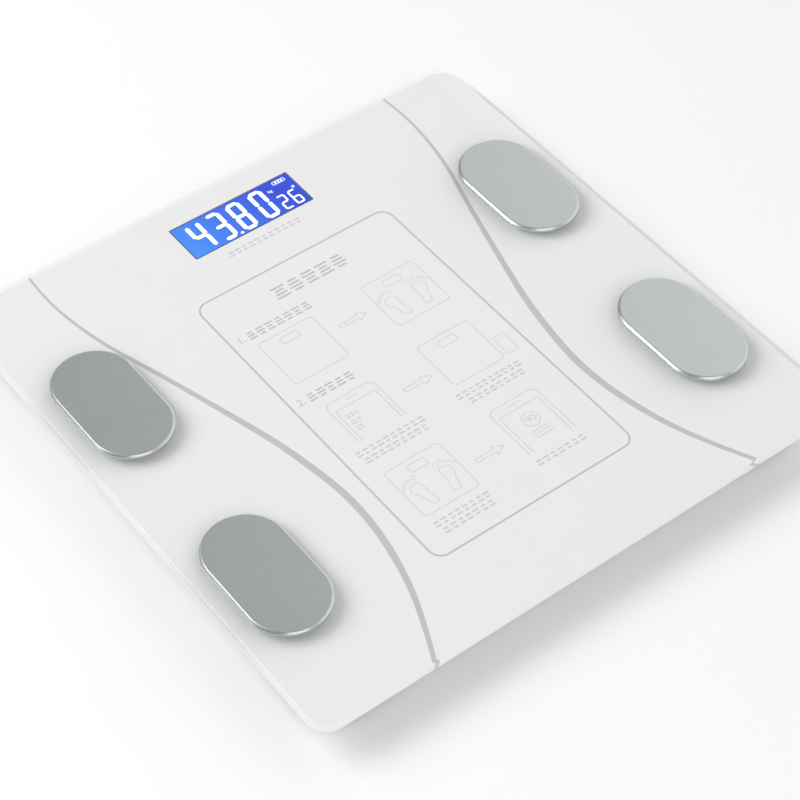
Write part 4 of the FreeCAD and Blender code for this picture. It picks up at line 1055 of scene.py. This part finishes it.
# ---------------- display
@dataclass
class Readout:
    """The display's lit numerals and the dark line round its window.

    Attributes:
        segments: Which of a numeral's seven segments are lit.
        depth: Thickness of a lit segment.
    """

    segments: dict[str, str] = field(default_factory=lambda: {
        "0": "abcdef", "2": "abged", "3": "abcdg", "4": "bcfg", "6": "acdefg", "8": "abcdefg"})
    depth: float = 0.04 * MM

    def build(self, window: tuple[Vector, Vector], glass_top: float) -> bpy.types.Object:
        """Show a reading of weight and one of temperature.

        Args:
            window: Lowest and highest corner of the window in the film.
            glass_top: Level of the display glass.

        Returns:
            The lit segments.
        """
        low, high = window
        width, height = high.x - low.x, high.y - low.y
        lit = []

        def spot(u: float, v: float) -> Point:
            """A point of the window, as shares of its width and height from its top left."""
            return low.x + u * width, high.y - v * height

        for numeral, u in zip("4380", (0.152, 0.322, 0.497, 0.69)):
            lit += self.numeral(numeral, spot(u, 0.51), (7.2 * MM, 18.2 * MM), 1.95 * MM)
        for numeral, u in zip("26", (0.828, 0.925)):
            lit += self.numeral(numeral, spot(u, 0.715), (4.2 * MM, 9.4 * MM), 0.9 * MM)
        lit.append(plate(*spot(0.407, 0.93), 1.3 * MM, 1.3 * MM))
        lit.append(hollow(disc(*spot(0.965, 0.43), 0.75 * MM, 24), 0.3 * MM))
        lit.append(written("kg", *spot(0.80, 0.27), 1.7 * MM))
        lit.append(hollow(round_corners(plate(*spot(0.91, 0.12), 6.4 * MM, 2.2 * MM), 0.5 * MM),
                          0.3 * MM))
        for step in range(3):
            lit.append(plate(*spot(0.885 + 0.025 * step, 0.12), 1.0 * MM, 0.9 * MM))
        piece = thickened(joined(lit, "lit_segments"), glass_top + self.depth, self.depth)
        return finished(piece, LIT_SEGMENT, "platform")

    def numeral(self, numeral: str, middle: Point, size: Point, stroke: float
                ) -> list[bpy.types.Object]:
        """Model the lit segments of one numeral.

        Args:
            numeral: Which one.
            middle: Its middle.
            size: Its width and height.
            stroke: Thickness of a segment.

        Returns:
            One flat bar for each lit segment.
        """
        width, height = size[0] - stroke, size[1] - stroke
        gap = stroke * 0.42
        lying = self.bar(width - gap, stroke)
        standing = self.bar(height / 2 - gap, stroke)
        standing.data.transform(Matrix.Rotation(math.pi / 2, 4, "Z"))
        places = {"a": (0, height / 2), "g": (0, 0), "d": (0, -height / 2),
                  "b": (width / 2, height / 4), "c": (width / 2, -height / 4),
                  "f": (-width / 2, height / 4), "e": (-width / 2, -height / 4)}
        bars = []
        for letter in self.segments[numeral]:
            model = lying if letter in "agd" else standing
            x, y = places[letter]
            bars.append(copied(model, Matrix.Translation((middle[0] + x, middle[1] + y, 0))))
        bpy.data.objects.remove(lying)
        bpy.data.objects.remove(standing)
        return bars

    def bar(self, length: float, stroke: float) -> bpy.types.Object:
        """One segment with pointed ends."""
        return round_corners(plate(0, 0, length + stroke * 0.3, stroke), stroke * 0.38, 1)

    def border(self, ink: PrintedInk, window: tuple[Vector, Vector], line: float
               ) -> bpy.types.Object:
        """Print the dark line round the window.

        Args:
            ink: Where it is printed.
            window: Lowest and highest corner of the window.
            line: Width of the line.

        Returns:
            The printed line.
        """
        low, high = window
        ink.line_box((low.x - line, low.y - line), (high.x + line, high.y + line), 0.6 * MM, line)
        return ink.printed("window_border", DARK_INK)


# ---------------- studio
@dataclass
class Studio:
    """A pale floor, soft light and the camera.

    Attributes:
        azimuth: Turn of the camera about the object, in degrees.
        elevation: Its height above the horizon, in degrees.
        distance: How far it is from what it looks at.
        target: What it looks at, on the glass.
        roll: Tilt of the picture, in degrees.
        lens: Focal length in millimetres.
        floor_size: Side of the floor.
        air: Brightness of the room's dim and bright sides.
        air_reach: Where each side starts, as the first part of a direction.
        lamps: Name, place, size and power of each lamp.
    """

    azimuth: float = -37.34
    elevation: float = 48.66
    distance: float = 0.9587
    target: Point = (-11.3 * MM, -20.65 * MM)
    roll: float = 0.12
    lens: float = 107.6
    floor_size: float = 8
    air: tuple[float, float] = (0.38, 1.08)
    air_reach: tuple[float, float] = (0.24, 0.58)
    lamps: tuple[tuple[str, tuple[float, float, float], float, float], ...] = (
        ("key", (-1.1, 1.0, 1.5), 1.5, 26),
        ("fill", (-0.4, -1.6, 1.5), 1.6, 9))

    def build(self, level: float) -> None:
        """Set the stage.

        Args:
            level: Level of the glass's upper face.
        """
        self.place_camera(level)
        self.lay_floor()
        self.light_world()
        for lamp in self.lamps:
            self.hang_lamp(*lamp)
        bpy.context.scene.view_settings.view_transform = "Standard"

    def place_camera(self, level: float) -> None:
        """Put the camera where the front left corner is nearest."""
        turn, rise = math.radians(self.azimuth), math.radians(self.elevation)
        back = Vector((math.sin(turn) * math.cos(rise), -math.cos(turn) * math.cos(rise),
                       math.sin(rise)))
        place = Vector((*self.target, level)) + back * self.distance
        aim = (-back).to_track_quat("-Z", "Y").to_matrix()
        rolled = aim @ Matrix.Rotation(math.radians(self.roll), 3, "Z")
        bpy.ops.object.camera_add(location=place, rotation=rolled.to_euler())
        camera = bpy.context.object
        camera.data.lens = self.lens
        camera.data.clip_start = 0.01
        bpy.context.scene.camera = camera

    def lay_floor(self) -> None:
        """Lay a plain pale floor."""
        bpy.ops.object.select_all(action="DESELECT")
        bpy.ops.mesh.primitive_plane_add(size=self.floor_size)
        floor = bpy.context.object
        floor.name = "floor"
        finish = Finish("floor_paint", (0.965, 0.965, 0.965), (0.955, 0.955, 0.955), 0.7, 0.05,
                        2 * MM, 0.002 * MM)
        floor.data.materials.append(finish.material())

    def light_world(self) -> None:
        """Fill the room with light that is brighter to the right."""
        world = bpy.data.worlds.new("studio_air")
        world.use_nodes = True
        world.node_tree.nodes.clear()
        graph = Graph(world.node_tree)
        way = graph.add("TexCoord").outputs["Generated"]
        across = graph.add("SeparateXYZ", {"Vector": way}).outputs["X"]
        strength = graph.remap(across, *self.air, *self.air_reach)
        air = graph.add("Background", {"Color": (1, 0.998, 0.998, 1), "Strength": strength})
        graph.add("OutputWorld", {"Surface": air.outputs[0]})
        bpy.context.scene.world = world

    def hang_lamp(self, name: str, place: tuple[float, float, float], size: float, power: float
                  ) -> None:
        """Hang a square soft lamp aimed at the platform.

        Args:
            name: Its name.
            place: Where it hangs.
            size: Its side.
            power: Its power in watts.
        """
        aim = (-Vector(place)).to_track_quat("-Z", "Y").to_euler()
        bpy.ops.object.light_add(type="AREA", location=place, rotation=aim)
        lamp = bpy.context.object
        lamp.name = name
        lamp.data.size = size
        lamp.data.energy = power


# ---------------- whole scale
@dataclass
class BathroomScale:
    """Everything that is shown, built in order.

    Attributes:
        pads: Nodes of the electrode pads.
        window_size: Width and depth of the window in the film.
        window_y: Middle of the window.
        border: Width of the dark line round it.
    """

    pads: list[str] = field(default_factory=lambda: sorted(
        node for node in frame["nodes"] if node.startswith("electrode_pad")))
    window_size: Point = (60.6 * MM, 20.5 * MM)
    window_y: float = 107 * MM
    border: float = 0.45 * MM

    def build(self) -> None:
        """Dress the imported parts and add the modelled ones."""
        styles = finishes(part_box("lcd_glass"))
        for entry in frame["record"]["subparts"]:
            style = styles[entry["material_slot"]]
            for slot in frame["nodes"][entry["node"]].material_slots:
                slot.material = style.material()
            log.info("%s: %s", entry["node"], style.name)
        glass = GlassTop().build(self.pads)
        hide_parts("glass_platform")
        finished(glass, styles["clear_glass"], "platform")
        for node in self.pads:
            pad = ElectrodePad().build(node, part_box("electrode_seals")[1].z)
            finished(pad, styles["electrode_steel"], "platform")
        low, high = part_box("print_film")
        ink = PrintedInk(high.z)
        half = Vector(self.window_size) / 2
        window = Vector((-half.x, self.window_y - half.y)), Vector((half.x, self.window_y + half.y))
        readout = Readout()
        readout.build(window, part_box("lcd_glass")[1].z)
        readout.border(ink, window, self.border)
        InstructionPanel(ink).build()
        ink.blocks((-18.5 * MM, 88.6 * MM), 19 * MM, 2.9 * MM, 0.18, 2)
        ink.printed("rating_line", PALE_INK)
        Swooshes(ink).build(low.y, high.y)


def main() -> None:
    """Build the stage and the scale."""
    logging.basicConfig(level=logging.INFO, format="%(name)s %(message)s")
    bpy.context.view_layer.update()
    Studio().build(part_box("glass_platform")[1].z)
    BathroomScale().build()


if __name__ == "__main__":
    main()
